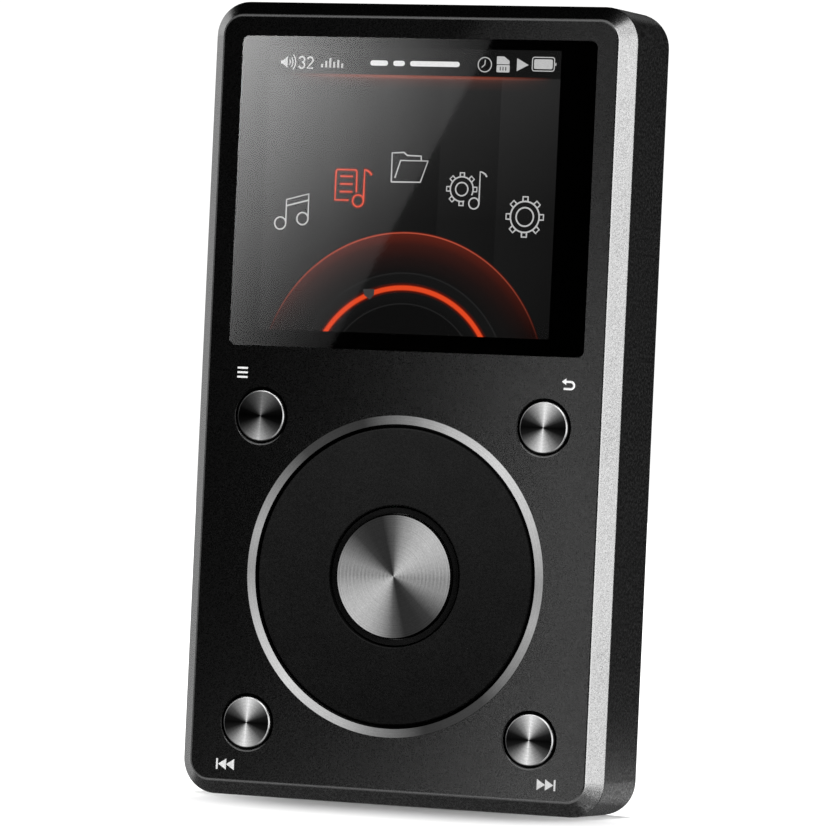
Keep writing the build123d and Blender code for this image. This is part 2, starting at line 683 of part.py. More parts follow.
with BuildPart() as keypad_board_screws:
    with BuildSketch(layer(KEYPAD_REAR + HEAD_HEIGHT)):
        with Locations(*KEYPAD_SCREWS):
            Circle(HEAD_RADIUS)
    extrude(amount=HEAD_HEIGHT)
    with BuildSketch(layer(KEYPAD_REAR)):
        with Locations(*KEYPAD_SCREWS):
            Circle(SCREW_RADIUS)
    extrude(amount=KEYPAD_SCREW_LENGTH)
    with BuildSketch(layer(KEYPAD_REAR + HEAD_HEIGHT)):
        with Locations(*KEYPAD_SCREWS):
            RegularPolygon(DRIVE_RADIUS, 6)
    extrude(amount=DRIVE_DEPTH, mode=Mode.SUBTRACT)
keypad_board_screws.part.label = "keypad_board_screws"
export_step(keypad_board_screws.part, "parts/keypad_board_screws.step")

board_connector = block((0, LINK_Z), LINK_SIZE, MAIN_FRONT, MAIN_FRONT - KEYPAD_REAR)
board_connector.label = "board_connector"
export_step(board_connector, "parts/board_connector.step")

# ---------------------------------------------------------------- side buttons

side_flange_x = -WIDTH / 2 + WALL + FLANGE_GAP
for name, z in {
    "power_button": POWER_Z,
    "volume_up_button": VOLUME_UP_Z,
    "volume_down_button": VOLUME_DOWN_Z,
}.items():
    with BuildPart() as side_button:
        with BuildSketch(Plane.YZ.offset(-WIDTH / 2 - SIDE_PROUD)):
            with Locations((0, z)):
                SlotOverall(SIDE_LENGTH, SIDE_BREADTH, rotation=90)
        extrude(amount=WALL + SIDE_PROUD + FLANGE_GAP)
        fillet(side_button.edges().group_by(Axis.X)[0], SIDE_EDGE)
        with BuildSketch(Plane.YZ.offset(side_flange_x)):
            with Locations((0, z)):
                SlotOverall(
                    SIDE_LENGTH + 2 * SIDE_FLANGE, SIDE_BREADTH + 2 * SIDE_FLANGE, rotation=90
                )
        extrude(amount=FLANGE_THICKNESS)
        with BuildSketch(Plane.YZ.offset(side_flange_x + FLANGE_THICKNESS)):
            with Locations((0, z)):
                Circle(SIDE_STEM)
        extrude(amount=SIDE_STEM_END - side_flange_x - FLANGE_THICKNESS)
    side_button.part.label = name
    export_step(side_button.part, f"parts/{name}.step")

side_switch_front = SIDE_BOARD_X - SWITCH_HEIGHT
for name, z in {
    "power_switch_plunger": POWER_Z,
    "volume_up_switch_plunger": VOLUME_UP_Z,
    "volume_down_switch_plunger": VOLUME_DOWN_Z,
}.items():
    with BuildPart() as side_plunger:
        with BuildSketch(Plane.YZ.offset(SIDE_STEM_END)):
            with Locations((0, z)):
                Circle(SIDE_PLUNGER)
        extrude(amount=side_switch_front + PLUNGER_ENGAGED - SIDE_STEM_END)
    side_plunger.part.label = name
    export_step(side_plunger.part, f"parts/{name}.step")

with BuildPart() as side_switches:
    with BuildSketch(Plane.YZ.offset(side_switch_front)):
        with Locations(*SIDE_PLACES):
            RectangleRounded(*SIDE_SWITCH_SIZE, CHIP_RADIUS)
    extrude(amount=SWITCH_HEIGHT)
    with BuildSketch(Plane.YZ.offset(side_switch_front)):
        with Locations(*SIDE_PLACES):
            Circle(SIDE_SWITCH_BORE)
    extrude(amount=SWITCH_BORE_DEPTH, mode=Mode.SUBTRACT)
side_switches.part.label = "side_switches"
export_step(side_switches.part, "parts/side_switches.step")

with BuildPart() as side_key_board:
    with BuildSketch(Plane.YZ.offset(SIDE_BOARD_X)):
        with Locations((0, SIDE_BOARD_Z[0])):
            Rectangle(
                SIDE_BOARD_BREADTH, SIDE_BOARD_Z[1] - SIDE_BOARD_Z[0], align=(Align.CENTER, Align.MIN)
            )
    extrude(amount=SIDE_BOARD_THICKNESS)
side_key_board.part.label = "side_key_board"
export_step(side_key_board.part, "parts/side_key_board.step")

with BuildPart() as power_led:
    with BuildSketch(Plane.YZ.offset(SIDE_BOARD_X - LED_HEIGHT)):
        with Locations((0, LIGHT_Z)):
            RectangleRounded(*LED_SIZE, CHIP_RADIUS)
    extrude(amount=LED_HEIGHT)
power_led.part.label = "power_led"
export_step(power_led.part, "parts/power_led.step")

with BuildPart() as power_light_pipe:
    with BuildSketch(Plane.YZ.offset(-WIDTH / 2)):
        with Locations((0, LIGHT_Z)):
            Circle(LIGHT_RADIUS)
    extrude(amount=SIDE_BOARD_X - LED_HEIGHT - LED_GAP + WIDTH / 2)
power_light_pipe.part.label = "power_light_pipe"
export_step(power_light_pipe.part, "parts/power_light_pipe.step")

# ---------------------------------------------------------------- main board and its components

with BuildPart() as main_board:
    with BuildSketch(layer(MAIN_REAR)):
        with Locations((0, MAIN_Z[0])):
            Rectangle(2 * MAIN_HALF_WIDTH, MAIN_Z[1] - MAIN_Z[0], align=(Align.CENTER, Align.MIN))
        with Locations(*COVER_SCREWS):
            Circle(COVER_BOSS_RADIUS + BOARD_GAP, mode=Mode.SUBTRACT)
        with Locations((-JACK_X, JACK_BASE - BOARD_GAP), (JACK_X, JACK_BASE - BOARD_GAP)):
            Rectangle(JACK_CUT, HEIGHT - JACK_BASE, align=(Align.CENTER, Align.MIN), mode=Mode.SUBTRACT)
        with Locations((SIDE_CUT_X, SIDE_BOARD_Z[0] - BOARD_GAP)):
            Rectangle(MAIN_HALF_WIDTH, HEIGHT, align=(Align.MAX, Align.MIN), mode=Mode.SUBTRACT)
        with Locations(*MAIN_SCREWS):
            Circle(SCREW_BORE, mode=Mode.SUBTRACT)
    extrude(amount=BOARD_THICKNESS)
main_board.part.label = "main_board"
export_step(main_board.part, "parts/main_board.step")

with BuildPart() as main_board_screws:
    with BuildSketch(layer(MAIN_REAR + HEAD_HEIGHT)):
        with Locations(*MAIN_SCREWS):
            Circle(HEAD_RADIUS)
    extrude(amount=HEAD_HEIGHT)
    with BuildSketch(layer(MAIN_REAR)):
        with Locations(*MAIN_SCREWS):
            Circle(SCREW_RADIUS)
    extrude(amount=BOARD_SCREW_LENGTH)
    with BuildSketch(layer(MAIN_REAR + HEAD_HEIGHT)):
        with Locations(*MAIN_SCREWS):
            RegularPolygon(DRIVE_RADIUS, 6)
    extrude(amount=DRIVE_DEPTH, mode=Mode.SUBTRACT)
main_board_screws.part.label = "main_board_screws"
export_step(main_board_screws.part, "parts/main_board_screws.step")

processor = block(PROCESSOR_PLACE, (PROCESSOR_SIZE, PROCESSOR_SIZE), MAIN_FRONT, PROCESSOR_HEIGHT)
processor.label = "processor"
export_step(processor, "parts/processor.step")

with BuildPart() as memory_chips:
    with BuildSketch(layer(MAIN_FRONT)):
        with Locations(*MEMORY_PLACES):
            RectangleRounded(MEMORY_SIZE, MEMORY_SIZE, CHIP_RADIUS)
    extrude(amount=MEMORY_HEIGHT)
memory_chips.part.label = "memory_chips"
export_step(memory_chips.part, "parts/memory_chips.step")

dac_chip = block(DAC_PLACE, (DAC_SIZE, DAC_SIZE), MAIN_FRONT, DAC_HEIGHT)
dac_chip.label = "dac_chip"
export_step(dac_chip, "parts/dac_chip.step")

with BuildPart() as clock_oscillators:
    with BuildSketch(layer(MAIN_FRONT)):
        with Locations(*OSCILLATOR_PLACES):
            RectangleRounded(*OSCILLATOR_SIZE, CHIP_RADIUS)
    extrude(amount=OSCILLATOR_HEIGHT)
clock_oscillators.part.label = "clock_oscillators"
export_step(clock_oscillators.part, "parts/clock_oscillators.step")

with BuildPart() as amplifier_chips:
    with BuildSketch(layer(MAIN_REAR + AMPLIFIER_HEIGHT)):
        with Locations((SHIELD_X, SHIELD_Z)):
            with GridLocations(AMPLIFIER_PITCH, 0, 3, 1):
                RectangleRounded(*AMPLIFIER_SIZE, CHIP_RADIUS)
    extrude(amount=AMPLIFIER_HEIGHT)
amplifier_chips.part.label = "amplifier_chips"
export_step(amplifier_chips.part, "parts/amplifier_chips.step")

with BuildPart() as shield_can:
    with BuildSketch(layer(MAIN_REAR + SHIELD_DEPTH)):
        with Locations((SHIELD_X, SHIELD_Z)):
            RectangleRounded(SHIELD_WIDTH, SHIELD_HEIGHT, 2 * SHIELD_SHEET)
    extrude(amount=SHIELD_DEPTH)
    with BuildSketch(layer(MAIN_REAR + SHIELD_DEPTH - SHIELD_SHEET)):
        with Locations((SHIELD_X, SHIELD_Z)):
            RectangleRounded(
                SHIELD_WIDTH - 2 * SHIELD_SHEET, SHIELD_HEIGHT - 2 * SHIELD_SHEET, SHIELD_SHEET
            )
    extrude(amount=SHIELD_DEPTH - SHIELD_SHEET, mode=Mode.SUBTRACT)
shield_can.part.label = "shield_can"
export_step(shield_can.part, "parts/shield_can.step")

with BuildPart() as capacitors:
    with BuildSketch(layer(MAIN_REAR + CAPACITOR_HEIGHT)):
        with Locations(*CAPACITOR_PLACES):
            RectangleRounded(*CAPACITOR_SIZE, CHIP_RADIUS)
    extrude(amount=CAPACITOR_HEIGHT)
capacitors.part.label = "capacitors"
export_step(capacitors.part, "parts/capacitors.step")

# ---------------------------------------------------------------- sockets

for name, x in {"headphone_jack": JACK_X, "line_out_jack": -JACK_X}.items():
    with BuildPart() as jack:
        with BuildSketch(Plane.XY.offset(JACK_BASE)):
            with Locations((x, SOCKET_Y)):
                RectangleRounded(JACK_WIDTH, JACK_DEPTH, SWITCH_RADIUS)
        extrude(amount=HEIGHT - WALL - JACK_BASE - SIDE_GAP)
        with BuildSketch(Plane.XY.offset(HEIGHT - WALL - SIDE_GAP)):
            with Locations((x, SOCKET_Y)):
                Circle(JACK_COLLAR)
        extrude(amount=WALL + SIDE_GAP)
        chamfer(jack.edges().group_by(Axis.Z)[-1], KEY_HOLE_EDGE)
        with BuildSketch(Plane.XY.offset(HEIGHT - JACK_BORE_DEPTH)):
            with Locations((x, SOCKET_Y)):
                Circle(JACK_BORE)
        extrude(amount=JACK_BORE_DEPTH, mode=Mode.SUBTRACT)
    jack.part.label = name
    export_step(jack.part, f"parts/{name}.step")

with BuildPart() as usb_port:
    with BuildSketch(Plane.XY.offset(USB_BASE)):
        with Locations((0, SOCKET_Y)):
            RectangleRounded(USB_WIDTH, USB_THICKNESS, USB_RADIUS)
    extrude(amount=USB_LENGTH)
    with BuildSketch(Plane.XY.offset(USB_BASE)):
        with Locations((0, SOCKET_Y)):
            RectangleRounded(
                USB_WIDTH - 2 * USB_WALL, USB_THICKNESS - 2 * USB_WALL, USB_RADIUS - USB_WALL
            )
            Rectangle(*USB_TONGUE, mode=Mode.SUBTRACT)
    extrude(amount=USB_LENGTH - 2 * USB_WALL, mode=Mode.SUBTRACT)
    with BuildSketch(Plane.XY.offset(USB_BASE)):
        with Locations((0, SOCKET_Y)):
            Rectangle(*USB_TONGUE)
    extrude(amount=2 * USB_WALL, mode=Mode.SUBTRACT)
usb_port.part.label = "usb_port"
export_step(usb_port.part, "parts/usb_port.step")

card_socket_base = WALL + SIDE_GAP
card_socket_thickness = 2 * (CARD_Y - MAIN_REAR)
with BuildPart() as card_sockets:
    with BuildSketch(Plane.XY.offset(card_socket_base)):
        with Locations((-CARD_X, CARD_Y), (CARD_X, CARD_Y)):
            RectangleRounded(CARD_WIDTH + 2 * CARD_SOCKET_SIDE, card_socket_thickness, CHIP_RADIUS)
    extrude(amount=CARD_SOCKET_LENGTH)
    with BuildSketch(Plane.XY.offset(card_socket_base)):
        with Locations((-CARD_X, CARD_Y), (CARD_X, CARD_Y)):
            Rectangle(CARD_WIDTH, CARD_THICKNESS)
    extrude(amount=CARD_SOCKET_LENGTH - CARD_SOCKET_END, mode=Mode.SUBTRACT)
card_sockets.part.label = "card_sockets"
export_step(card_sockets.part, "parts/card_sockets.step")

# ---------------------------------------------------------------- battery

battery_mid = (BATTERY_Z[0] + BATTERY_Z[1]) / 2
with BuildPart() as battery:
    with BuildSketch(layer(BATTERY_REAR)):
        with Locations((0, battery_mid)):
            RectangleRounded(BATTERY_WIDTH, BATTERY_Z[1] - BATTERY_Z[0], BATTERY_RADIUS)
    extrude(amount=BATTERY_REAR - BATTERY_FRONT)
    fillet(battery.edges().filter_by(Axis.Z), BATTERY_SIDE_RADIUS)
battery.part.label = "battery"
export_step(battery.part, "parts/battery.step")

battery_tape = block((0, battery_mid), TAPE_SIZE, BATTERY_FRONT, BATTERY_FRONT - MAIN_REAR)
battery_tape.label = "battery_tape"
export_step(battery_tape, "parts/battery_tape.step")

battery_foam = block((0, battery_mid), FOAM_SIZE, COVER_SEAT, COVER_SEAT - BATTERY_REAR)
battery_foam.label = "battery_foam"
export_step(battery_foam, "parts/battery_foam.step")

plug_place = (sum(LEAD_X) / 2, (PLUG_LOW + PLUG_TOP) / 2)
battery_plug = block(plug_place, (PLUG_WIDTH, PLUG_TOP - PLUG_LOW), MAIN_REAR + PLUG_HEIGHT, PLUG_HEIGHT)
battery_plug.label = "battery_plug"
export_step(battery_plug, "parts/battery_plug.step")

# each lead leaves the battery's top edge, steps towards the board and enters the plug
for name, x in zip(("battery_lead_positive", "battery_lead_negative"), LEAD_X):
    with BuildPart() as lead:
        with BuildLine(Plane.YZ.offset(x)):
            FilletPolyline(
                (LEAD_HIGH_Y, BATTERY_Z[1]), (LEAD_HIGH_Y, LEAD_STEP_Z), (LEAD_LOW_Y, LEAD_STEP_Z),
                (LEAD_LOW_Y, PLUG_LOW), radius=LEAD_BEND,
            )
        with BuildSketch(Plane.XY.offset(BATTERY_Z[1])):
            with Locations((x, LEAD_HIGH_Y)):
                Circle(LEAD_RADIUS)
        sweep()
    lead.part.label = name
    export_step(lead.part, f"parts/{name}.step")
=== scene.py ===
import json
import math

import bmesh
import bpy
from mathutils import Matrix, Vector

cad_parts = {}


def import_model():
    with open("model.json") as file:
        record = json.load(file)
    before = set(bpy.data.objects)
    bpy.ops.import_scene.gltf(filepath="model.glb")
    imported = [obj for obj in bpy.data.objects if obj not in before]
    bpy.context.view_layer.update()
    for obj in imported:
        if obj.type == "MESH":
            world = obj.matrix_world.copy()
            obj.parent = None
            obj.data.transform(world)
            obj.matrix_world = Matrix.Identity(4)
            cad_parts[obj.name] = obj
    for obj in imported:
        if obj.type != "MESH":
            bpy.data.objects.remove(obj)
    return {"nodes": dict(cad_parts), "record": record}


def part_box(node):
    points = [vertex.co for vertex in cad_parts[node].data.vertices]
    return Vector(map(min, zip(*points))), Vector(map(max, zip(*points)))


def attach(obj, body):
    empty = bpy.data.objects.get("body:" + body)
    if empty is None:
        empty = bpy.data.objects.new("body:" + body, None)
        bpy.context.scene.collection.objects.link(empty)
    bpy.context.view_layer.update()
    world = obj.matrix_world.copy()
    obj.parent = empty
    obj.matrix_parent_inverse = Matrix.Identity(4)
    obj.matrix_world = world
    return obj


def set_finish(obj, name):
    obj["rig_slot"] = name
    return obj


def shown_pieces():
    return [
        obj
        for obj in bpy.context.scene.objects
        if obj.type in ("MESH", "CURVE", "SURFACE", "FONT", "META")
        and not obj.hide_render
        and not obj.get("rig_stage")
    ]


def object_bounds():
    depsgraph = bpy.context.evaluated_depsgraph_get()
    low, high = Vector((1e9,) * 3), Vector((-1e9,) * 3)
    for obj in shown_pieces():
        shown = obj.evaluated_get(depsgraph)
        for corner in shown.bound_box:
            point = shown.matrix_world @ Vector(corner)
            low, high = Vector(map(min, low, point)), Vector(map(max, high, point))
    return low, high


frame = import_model()
CAD_LOW, CAD_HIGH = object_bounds()
NODES = frame["nodes"]
MM = 0.001

HOUSING_LOW, HOUSING_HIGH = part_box("front_housing")
WINDOW_LOW, WINDOW_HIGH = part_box("display_window")
PANEL_LOW, PANEL_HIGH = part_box("lcd_panel")
WHEEL_LOW, WHEEL_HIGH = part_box("scroll_wheel")
WHEEL_CENTRE = (WHEEL_LOW + WHEEL_HIGH) / 2
KEY_LOW, KEY_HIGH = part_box("next_button")

KEYS = ("menu_button", "back_button", "previous_button", "next_button")
SPUN = ("wheel_trim_ring", "centre_button") + KEYS
HOUSING = ("front_housing", "rear_cover")

# ---------------------------------------------------------------- camera

AZIMUTH, ELEVATION, ROLL = (math.radians(a) for a in (23.397, -0.599, -2.638))
CAMERA_DISTANCE = 0.8726
LENS, SENSOR = 275.7, 36.0
SHIFT = (0.0218, -0.0190)

TARGET = Vector(((HOUSING_LOW.x + HOUSING_HIGH.x) / 2, HOUSING_LOW.y,
                 (HOUSING_LOW.z + HOUSING_HIGH.z) / 2))
BACK = Vector((math.sin(AZIMUTH) * math.cos(ELEVATION),
               -math.cos(AZIMUTH) * math.cos(ELEVATION),
               math.sin(ELEVATION)))
EYE = TARGET + BACK * CAMERA_DISTANCE


def make_camera():
    """Looks at the middle of the front, from its right and a touch below, with the picture tilted by ROLL."""
    right = Vector((math.cos(AZIMUTH), math.sin(AZIMUTH), 0))
    up = BACK.cross(right)
    c, s = math.cos(ROLL), math.sin(ROLL)
    right, up = right * c - up * s, right * s + up * c
    data = bpy.data.cameras.new("camera")
    data.lens, data.sensor_width = LENS, SENSOR
    data.shift_x, data.shift_y = SHIFT
    data.clip_start, data.clip_end = 0.01, 20.0
    camera = bpy.data.objects.new("camera", data)
    camera.matrix_world = Matrix.Translation(EYE) @ Matrix((right, up, BACK)).transposed().to_4x4()
    bpy.context.collection.objects.link(camera)
    bpy.context.scene.camera = camera


# ---------------------------------------------------------------- node helper


class Shader:
    """A material being built: its node tree and short ways to add nodes to it."""

    def __init__(self, name, kind="BsdfPrincipled", **uniform):
        self.material = bpy.data.materials.new(name)
        self.material.use_nodes = True
        self.tree = self.material.node_tree
        self.tree.nodes.clear()
        self.surface = self.node(kind)
        self.node("OutputMaterial", {"Surface": self.surface.outputs[0]})
        for key, value in uniform.items():
            self.surface.inputs[key.replace("_", " ")].default_value = value

    def node(self, kind, inputs=None, **settings):
        """A new node, with its inputs fed and its settings set."""
        made = self.tree.nodes.new("ShaderNode" + kind)
        for key, value in settings.items():
            setattr(made, key, value)
        for key, value in (inputs or {}).items():
            self.feed(made.inputs[key], value)
        return made

    def feed(self, socket, value):
        """Links value to the socket, or sets it there if it is plain."""
        if isinstance(value, bpy.types.NodeSocket):
            self.tree.links.new(value, socket)
        else:
            socket.default_value = value

    def math(self, operation, *values):
        made = self.node("Math", dict(enumerate(values)), operation=operation)
        return made.outputs[0]

    def place(self):
        """Where a point is on its own object."""
        return self.node("TexCoord").outputs["Object"]

    def axes(self):
        """The object's own x, y and z, in metres."""
        return self.node("SeparateXYZ", {0: self.place()}).outputs

    def length(self, a, b):
        """The long side of a right triangle."""
        squares = self.math("ADD", self.math("MULTIPLY", a, a), self.math("MULTIPLY", b, b))
        return self.math("SQRT", squares)

    def noise(self, scale, detail=2.0, roughness=0.5, vector=None):
        return self.node("TexNoise", {"Vector": vector or self.place(), "Scale": scale, "Detail": detail,
                                      "Roughness": roughness}).outputs["Fac"]

    def spread(self, value, low, high, start=0.3, end=0.7, clamp=True):
        """value, from start to end, turned into low to high."""
        made = self.node("MapRange", {0: value, 1: start, 2: end, 3: low, 4: high}, clamp=clamp)
        return made.outputs[0]

    def greys(self, value, *stops):
        """A colour along a ramp of (place, grey or colour) stops."""
        made = self.node("ValToRGB", {0: value})
        ramp = made.color_ramp
        while len(ramp.elements) < len(stops):
            ramp.elements.new(0.5)
        for element, (at, tone) in zip(ramp.elements, stops):
            element.position = at
            element.color = (*tone, 1) if isinstance(tone, tuple) else (tone, tone, tone, 1)
        return made.outputs[0]

    def tint(self, factor, a, b, blend="MIX"):
        """Colour a with b laid over it by factor."""
        made = self.node("Mix", data_type="RGBA", blend_type=blend)
        self.feed(made.inputs[0], factor)
        self.feed(made.inputs[6], a)
        self.feed(made.inputs[7], b)
        return made.outputs[2]

    def shade(self, tone, factor):
        """A tone multiplied by a factor or by another tone."""
        return self.tint(1.0, tone, factor, "MULTIPLY")

    def bump(self, height, strength, distance):
        """Fine relief; distance is how deep, in metres, a height of 1 stands."""
        made = self.node("Bump", {"Height": height, "Strength": strength, "Distance": distance})
        self.feed(self.surface.inputs["Normal"], made.outputs[0])

    def set(self, **inputs):
        for key, value in inputs.items():
            self.feed(self.surface.inputs[key.replace("_", " ")], value)


def grey(tone):
    """A neutral colour."""
    return (tone, tone, tone, 1.0)


# ---------------------------------------------------------------- materials of the outside

GRAIN = 6500.0           # cells of the blasted grain per metre
BEVEL_DEPTH = 3.0 * MM   # from the front to where its bevels meet the walls
EDGE_INSET = 2.0 * MM    # from the outside of the casing to the edge where its bevels meet the front
CORNER = 4.8 * MM        # radius of the casing's corners, seen from the front
KEY_PLACE = (KEY_LOW + KEY_HIGH) / 2 - WHEEL_CENTRE
KEY_X, KEY_Z = abs(KEY_PLACE.x), abs(KEY_PLACE.z)   # how far each small key is from the wheel's centre
KEY_HOLE = 4.0 * MM      # radius of the keys' holes, with their lip painted dark as shade
KEY_RIM = 3.31 * MM      # radius where a key's polished edge begins, with its painted highlight

METAL_DARK, METAL_LIGHT = 0.025, 0.091       # the grain's greys
EDGE_HIGHLIGHT_TONE, RIGHT_EDGE_HIGHLIGHT_TONE = 0.05, 0.08      # the painted highlight line along the front's edge
HOLE_SHADE_TONE, LIP_HIGHLIGHT_TONE = 0.006, 0.07            # painted shade in the keys' holes, and a painted highlight on their lower lips
BLASTED_ROUGHNESS = 0.27


def edge_line(m, x, z):
    """1 along the rounded rectangle where the front meets its bevels, and 0 away from it."""
    corner_x = m.math("SUBTRACT", m.math("ABSOLUTE", x), HOUSING_HIGH.x - CORNER)
    upward = m.math("ABSOLUTE", m.math("SUBTRACT", z, TARGET.z))
    corner_z = m.math("SUBTRACT", upward, HOUSING_HIGH.z - TARGET.z - CORNER)
    outline = m.length(m.math("MAXIMUM", corner_x, 0.0), m.math("MAXIMUM", corner_z, 0.0))
    outline = m.math("ADD", outline, m.math("MINIMUM", m.math("MAXIMUM", corner_x, corner_z), 0.0))
    from_edge = m.math("ABSOLUTE", m.math("SUBTRACT", outline, CORNER - EDGE_INSET))
    return m.spread(from_edge, 1.0, 0.0, 0.09 * MM, 0.21 * MM)


def key_holes(m, x, y, z):
    """Two masks: the keys' holes and lips, for painted shade, and each lower lip, for a painted highlight."""
    above = m.math("SUBTRACT", z, WHEEL_CENTRE.z)
    key_x = m.math("SUBTRACT", m.math("ABSOLUTE", x), KEY_X)
    key_z = m.math("SUBTRACT", above, m.math("MULTIPLY", m.math("SIGN", above), KEY_Z))
    hole = m.math("LESS_THAN", m.length(key_x, key_z), KEY_HOLE)
    hole = m.math("MULTIPLY", hole, m.math("LESS_THAN", y, HOUSING_LOW.y + 1.0 * MM))
    return hole, m.math("MULTIPLY", hole, m.spread(key_z, 1.0, 0.0, -3.6 * MM, -2.0 * MM))


def coarse_places(m, y, z, front):
    """Where the grain is coarse: on the walls, less so near the rear, and a little on the underside."""
    bevel_back = HOUSING_LOW.y + BEVEL_DEPTH
    wall = m.math("MULTIPLY", m.spread(y, 0.0, 1.0, bevel_back - 0.2 * MM, bevel_back + 0.2 * MM),
                  m.spread(y, 1.0, 0.4, HOUSING_HIGH.y - 2.0 * MM, HOUSING_HIGH.y - 1.0 * MM))
    under = m.math("MULTIPLY", m.math("LESS_THAN", z, HOUSING_LOW.z + EDGE_INSET),
                   m.math("SUBTRACT", 1.0, front))
    return m.math("MAXIMUM", wall, m.math("MULTIPLY", under, 0.35))


def blasted_aluminium():
    """Bead-blasted, anodised aluminium: almost black, with a fine grain that sparkles on the bevels.

    The walls behind the bevels were blasted coarser than the front, so their grain is stronger. A painted
    highlight runs along the edge between the front and its bevels: a dull line there, not metal, that catches
    light from every side, and bright metal on the right. The keys' holes hold painted shade, and their lower
    lips a painted highlight."""
    m = Shader("blasted_aluminium")
    x, y, z = m.axes()
    grain = m.noise(GRAIN, 2.0, 0.6)
    cloud = m.noise(60.0, 3.0)
    coarse = m.spread(m.noise(GRAIN * 0.42, 2.0), 0.25, 2.3, 0.42, 0.60)
    front = m.spread(y, 1.0, 0.0, HOUSING_LOW.y + 0.2 * MM, HOUSING_LOW.y + 0.5 * MM)
    edge = m.math("MULTIPLY", edge_line(m, x, z), front)
    on_right = m.spread(x, 0.0, 1.0, HOUSING_HIGH.x - 3.2 * MM, HOUSING_HIGH.x - 2.3 * MM)
    key_hole, lower_lip = key_holes(m, x, y, z)
    # painted highlights: the edge line, except on the right, and the keys' lower lips are made dull, not
    # metal
    painted_highlight = m.math("MAXIMUM", m.math("MULTIPLY", edge, m.math("SUBTRACT", 1.0, on_right)), lower_lip)
    tone = m.spread(grain, METAL_DARK, METAL_LIGHT)
    tone = m.tint(m.spread(cloud, 0.0, 0.25), tone, grey(METAL_LIGHT))
    # painted highlight along the front's edge, brighter on the right
    tone = m.tint(edge, tone, m.spread(on_right, EDGE_HIGHLIGHT_TONE, RIGHT_EDGE_HIGHLIGHT_TONE, 0.0, 1.0))
    # painted shade in the keys' holes, and a painted highlight on each lower lip
    tone = m.tint(key_hole, tone, m.spread(lower_lip, HOLE_SHADE_TONE, LIP_HIGHLIGHT_TONE, 0.0, 1.0))
    m.set(Base_Color=m.tint(coarse_places(m, y, z, front), tone, m.shade(tone, coarse)),
          Metallic=m.math("SUBTRACT", 1.0, painted_highlight),
          Roughness=m.spread(grain, BLASTED_ROUGHNESS - 0.03, BLASTED_ROUGHNESS + 0.05))
    m.bump(grain, 0.3, 0.00004)
    return m.material


# painted highlights of the spun faces, as (angle in degrees, grey) over half a turn from the right-hand side
RING_HIGHLIGHT_FAN = ((0, 0.29), (20, 0.47), (45, 0.61), (70, 0.44), (85, 0.22), (105, 0.035), (130, 0.053),
            (150, 0.235), (165, 0.36), (180, 0.29))
CENTRE_HIGHLIGHT_FAN = ((0, 0.25), (15, 0.36), (30, 0.43), (45, 0.46), (62, 0.40), (78, 0.27), (92, 0.088),
              (105, 0.024), (122, 0.025), (137, 0.040), (150, 0.125), (165, 0.24), (180, 0.25))
KEY_HIGHLIGHT_FAN = ((0, 0.002), (18, 0.009), (30, 0.047), (45, 0.145), (65, 0.37), (80, 0.61), (87, 0.73),
           (95, 0.53), (115, 0.25), (140, 0.06), (162, 0.006), (180, 0.002))
ARC_PITCH = 0.55 * MM    # between the wider rings of the centre button


def spun_metal(name, centre, highlight_fan, rings, arcs=0.0, rim=None):
    """Aluminium turned on a lathe: fine concentric lines, and painted highlights spreading from the centre.

    highlight_fan holds the painted highlights' tones over half a turn; the other half repeats them. rings is
    how many lines there are to a metre of radius. arcs is the strength of the wider turned rings, painted to
    show only to the left and right of the centre as a painted reflection. rim is the radius where a polished
    edge begins: a painted highlight makes it lightest at the upper right, and its side is painted dark, as
    shade, where it goes down into the casing."""
    m = Shader(name, Metallic=1.0, Roughness=0.3, Anisotropic=0.5)
    x, y, z = m.axes()
    dx = m.math("SUBTRACT", x, centre.x)
    dz = m.math("SUBTRACT", z, centre.z)
    radius = m.length(dx, dz)
    half_turn = m.math("FRACT", m.math("ADD", m.math("DIVIDE", m.math("ARCTAN2", dz, dx), math.pi), 2.0))
    # painted highlight: the light that turned metal spreads out from its centre, laid into its colour
    tone = m.greys(half_turn, *[(angle / 180.0, shade) for angle, shade in highlight_fan])
    outward = m.node("CombineXYZ", {"X": m.math("MULTIPLY", radius, rings)}).outputs[0]
    line = m.noise(1.0, 2.0, 0.6, outward)
    tone = m.shade(tone, m.spread(line, 0.80, 1.18, clamp=False))
    tone = m.shade(tone, m.spread(m.noise(GRAIN, 1.0), 0.90, 1.10, clamp=False))
    if arcs:
        # painted reflection: the wider turned rings show only to the left and right of the centre
        ripple = m.math("SINE", m.math("MULTIPLY", radius, 2 * math.pi / ARC_PITCH))
        slant = m.math("ABSOLUTE", m.math("DIVIDE", dz, m.math("MAXIMUM", m.math("ABSOLUTE", dx), 0.0001)))
        beside = m.spread(slant, arcs, 0.0, 0.0, 0.35)
        tone = m.shade(tone, m.math("ADD", 1.0, m.math("MULTIPLY", ripple, beside)))
    if rim:
        # painted highlight on the polished edge, lightest at the upper right
        up_right = m.math("DIVIDE", m.math("ADD", dx, dz), m.math("MAXIMUM", radius, 0.0001))
        tone = m.tint(m.math("GREATER_THAN", radius, rim), tone, m.spread(up_right, 0.10, 0.62, -1.1, 0.7))
        # painted shade on the edge's side, where it goes down behind the casing's front
        tone = m.tint(m.math("GREATER_THAN", y, HOUSING_LOW.y - 0.04 * MM), tone, grey(0.01))
    m.set(Base_Color=tone, Tangent=m.node("Tangent", direction_type="RADIAL", axis="Y").outputs[0])
    m.bump(line, 0.15, 0.00002)
    return m.material


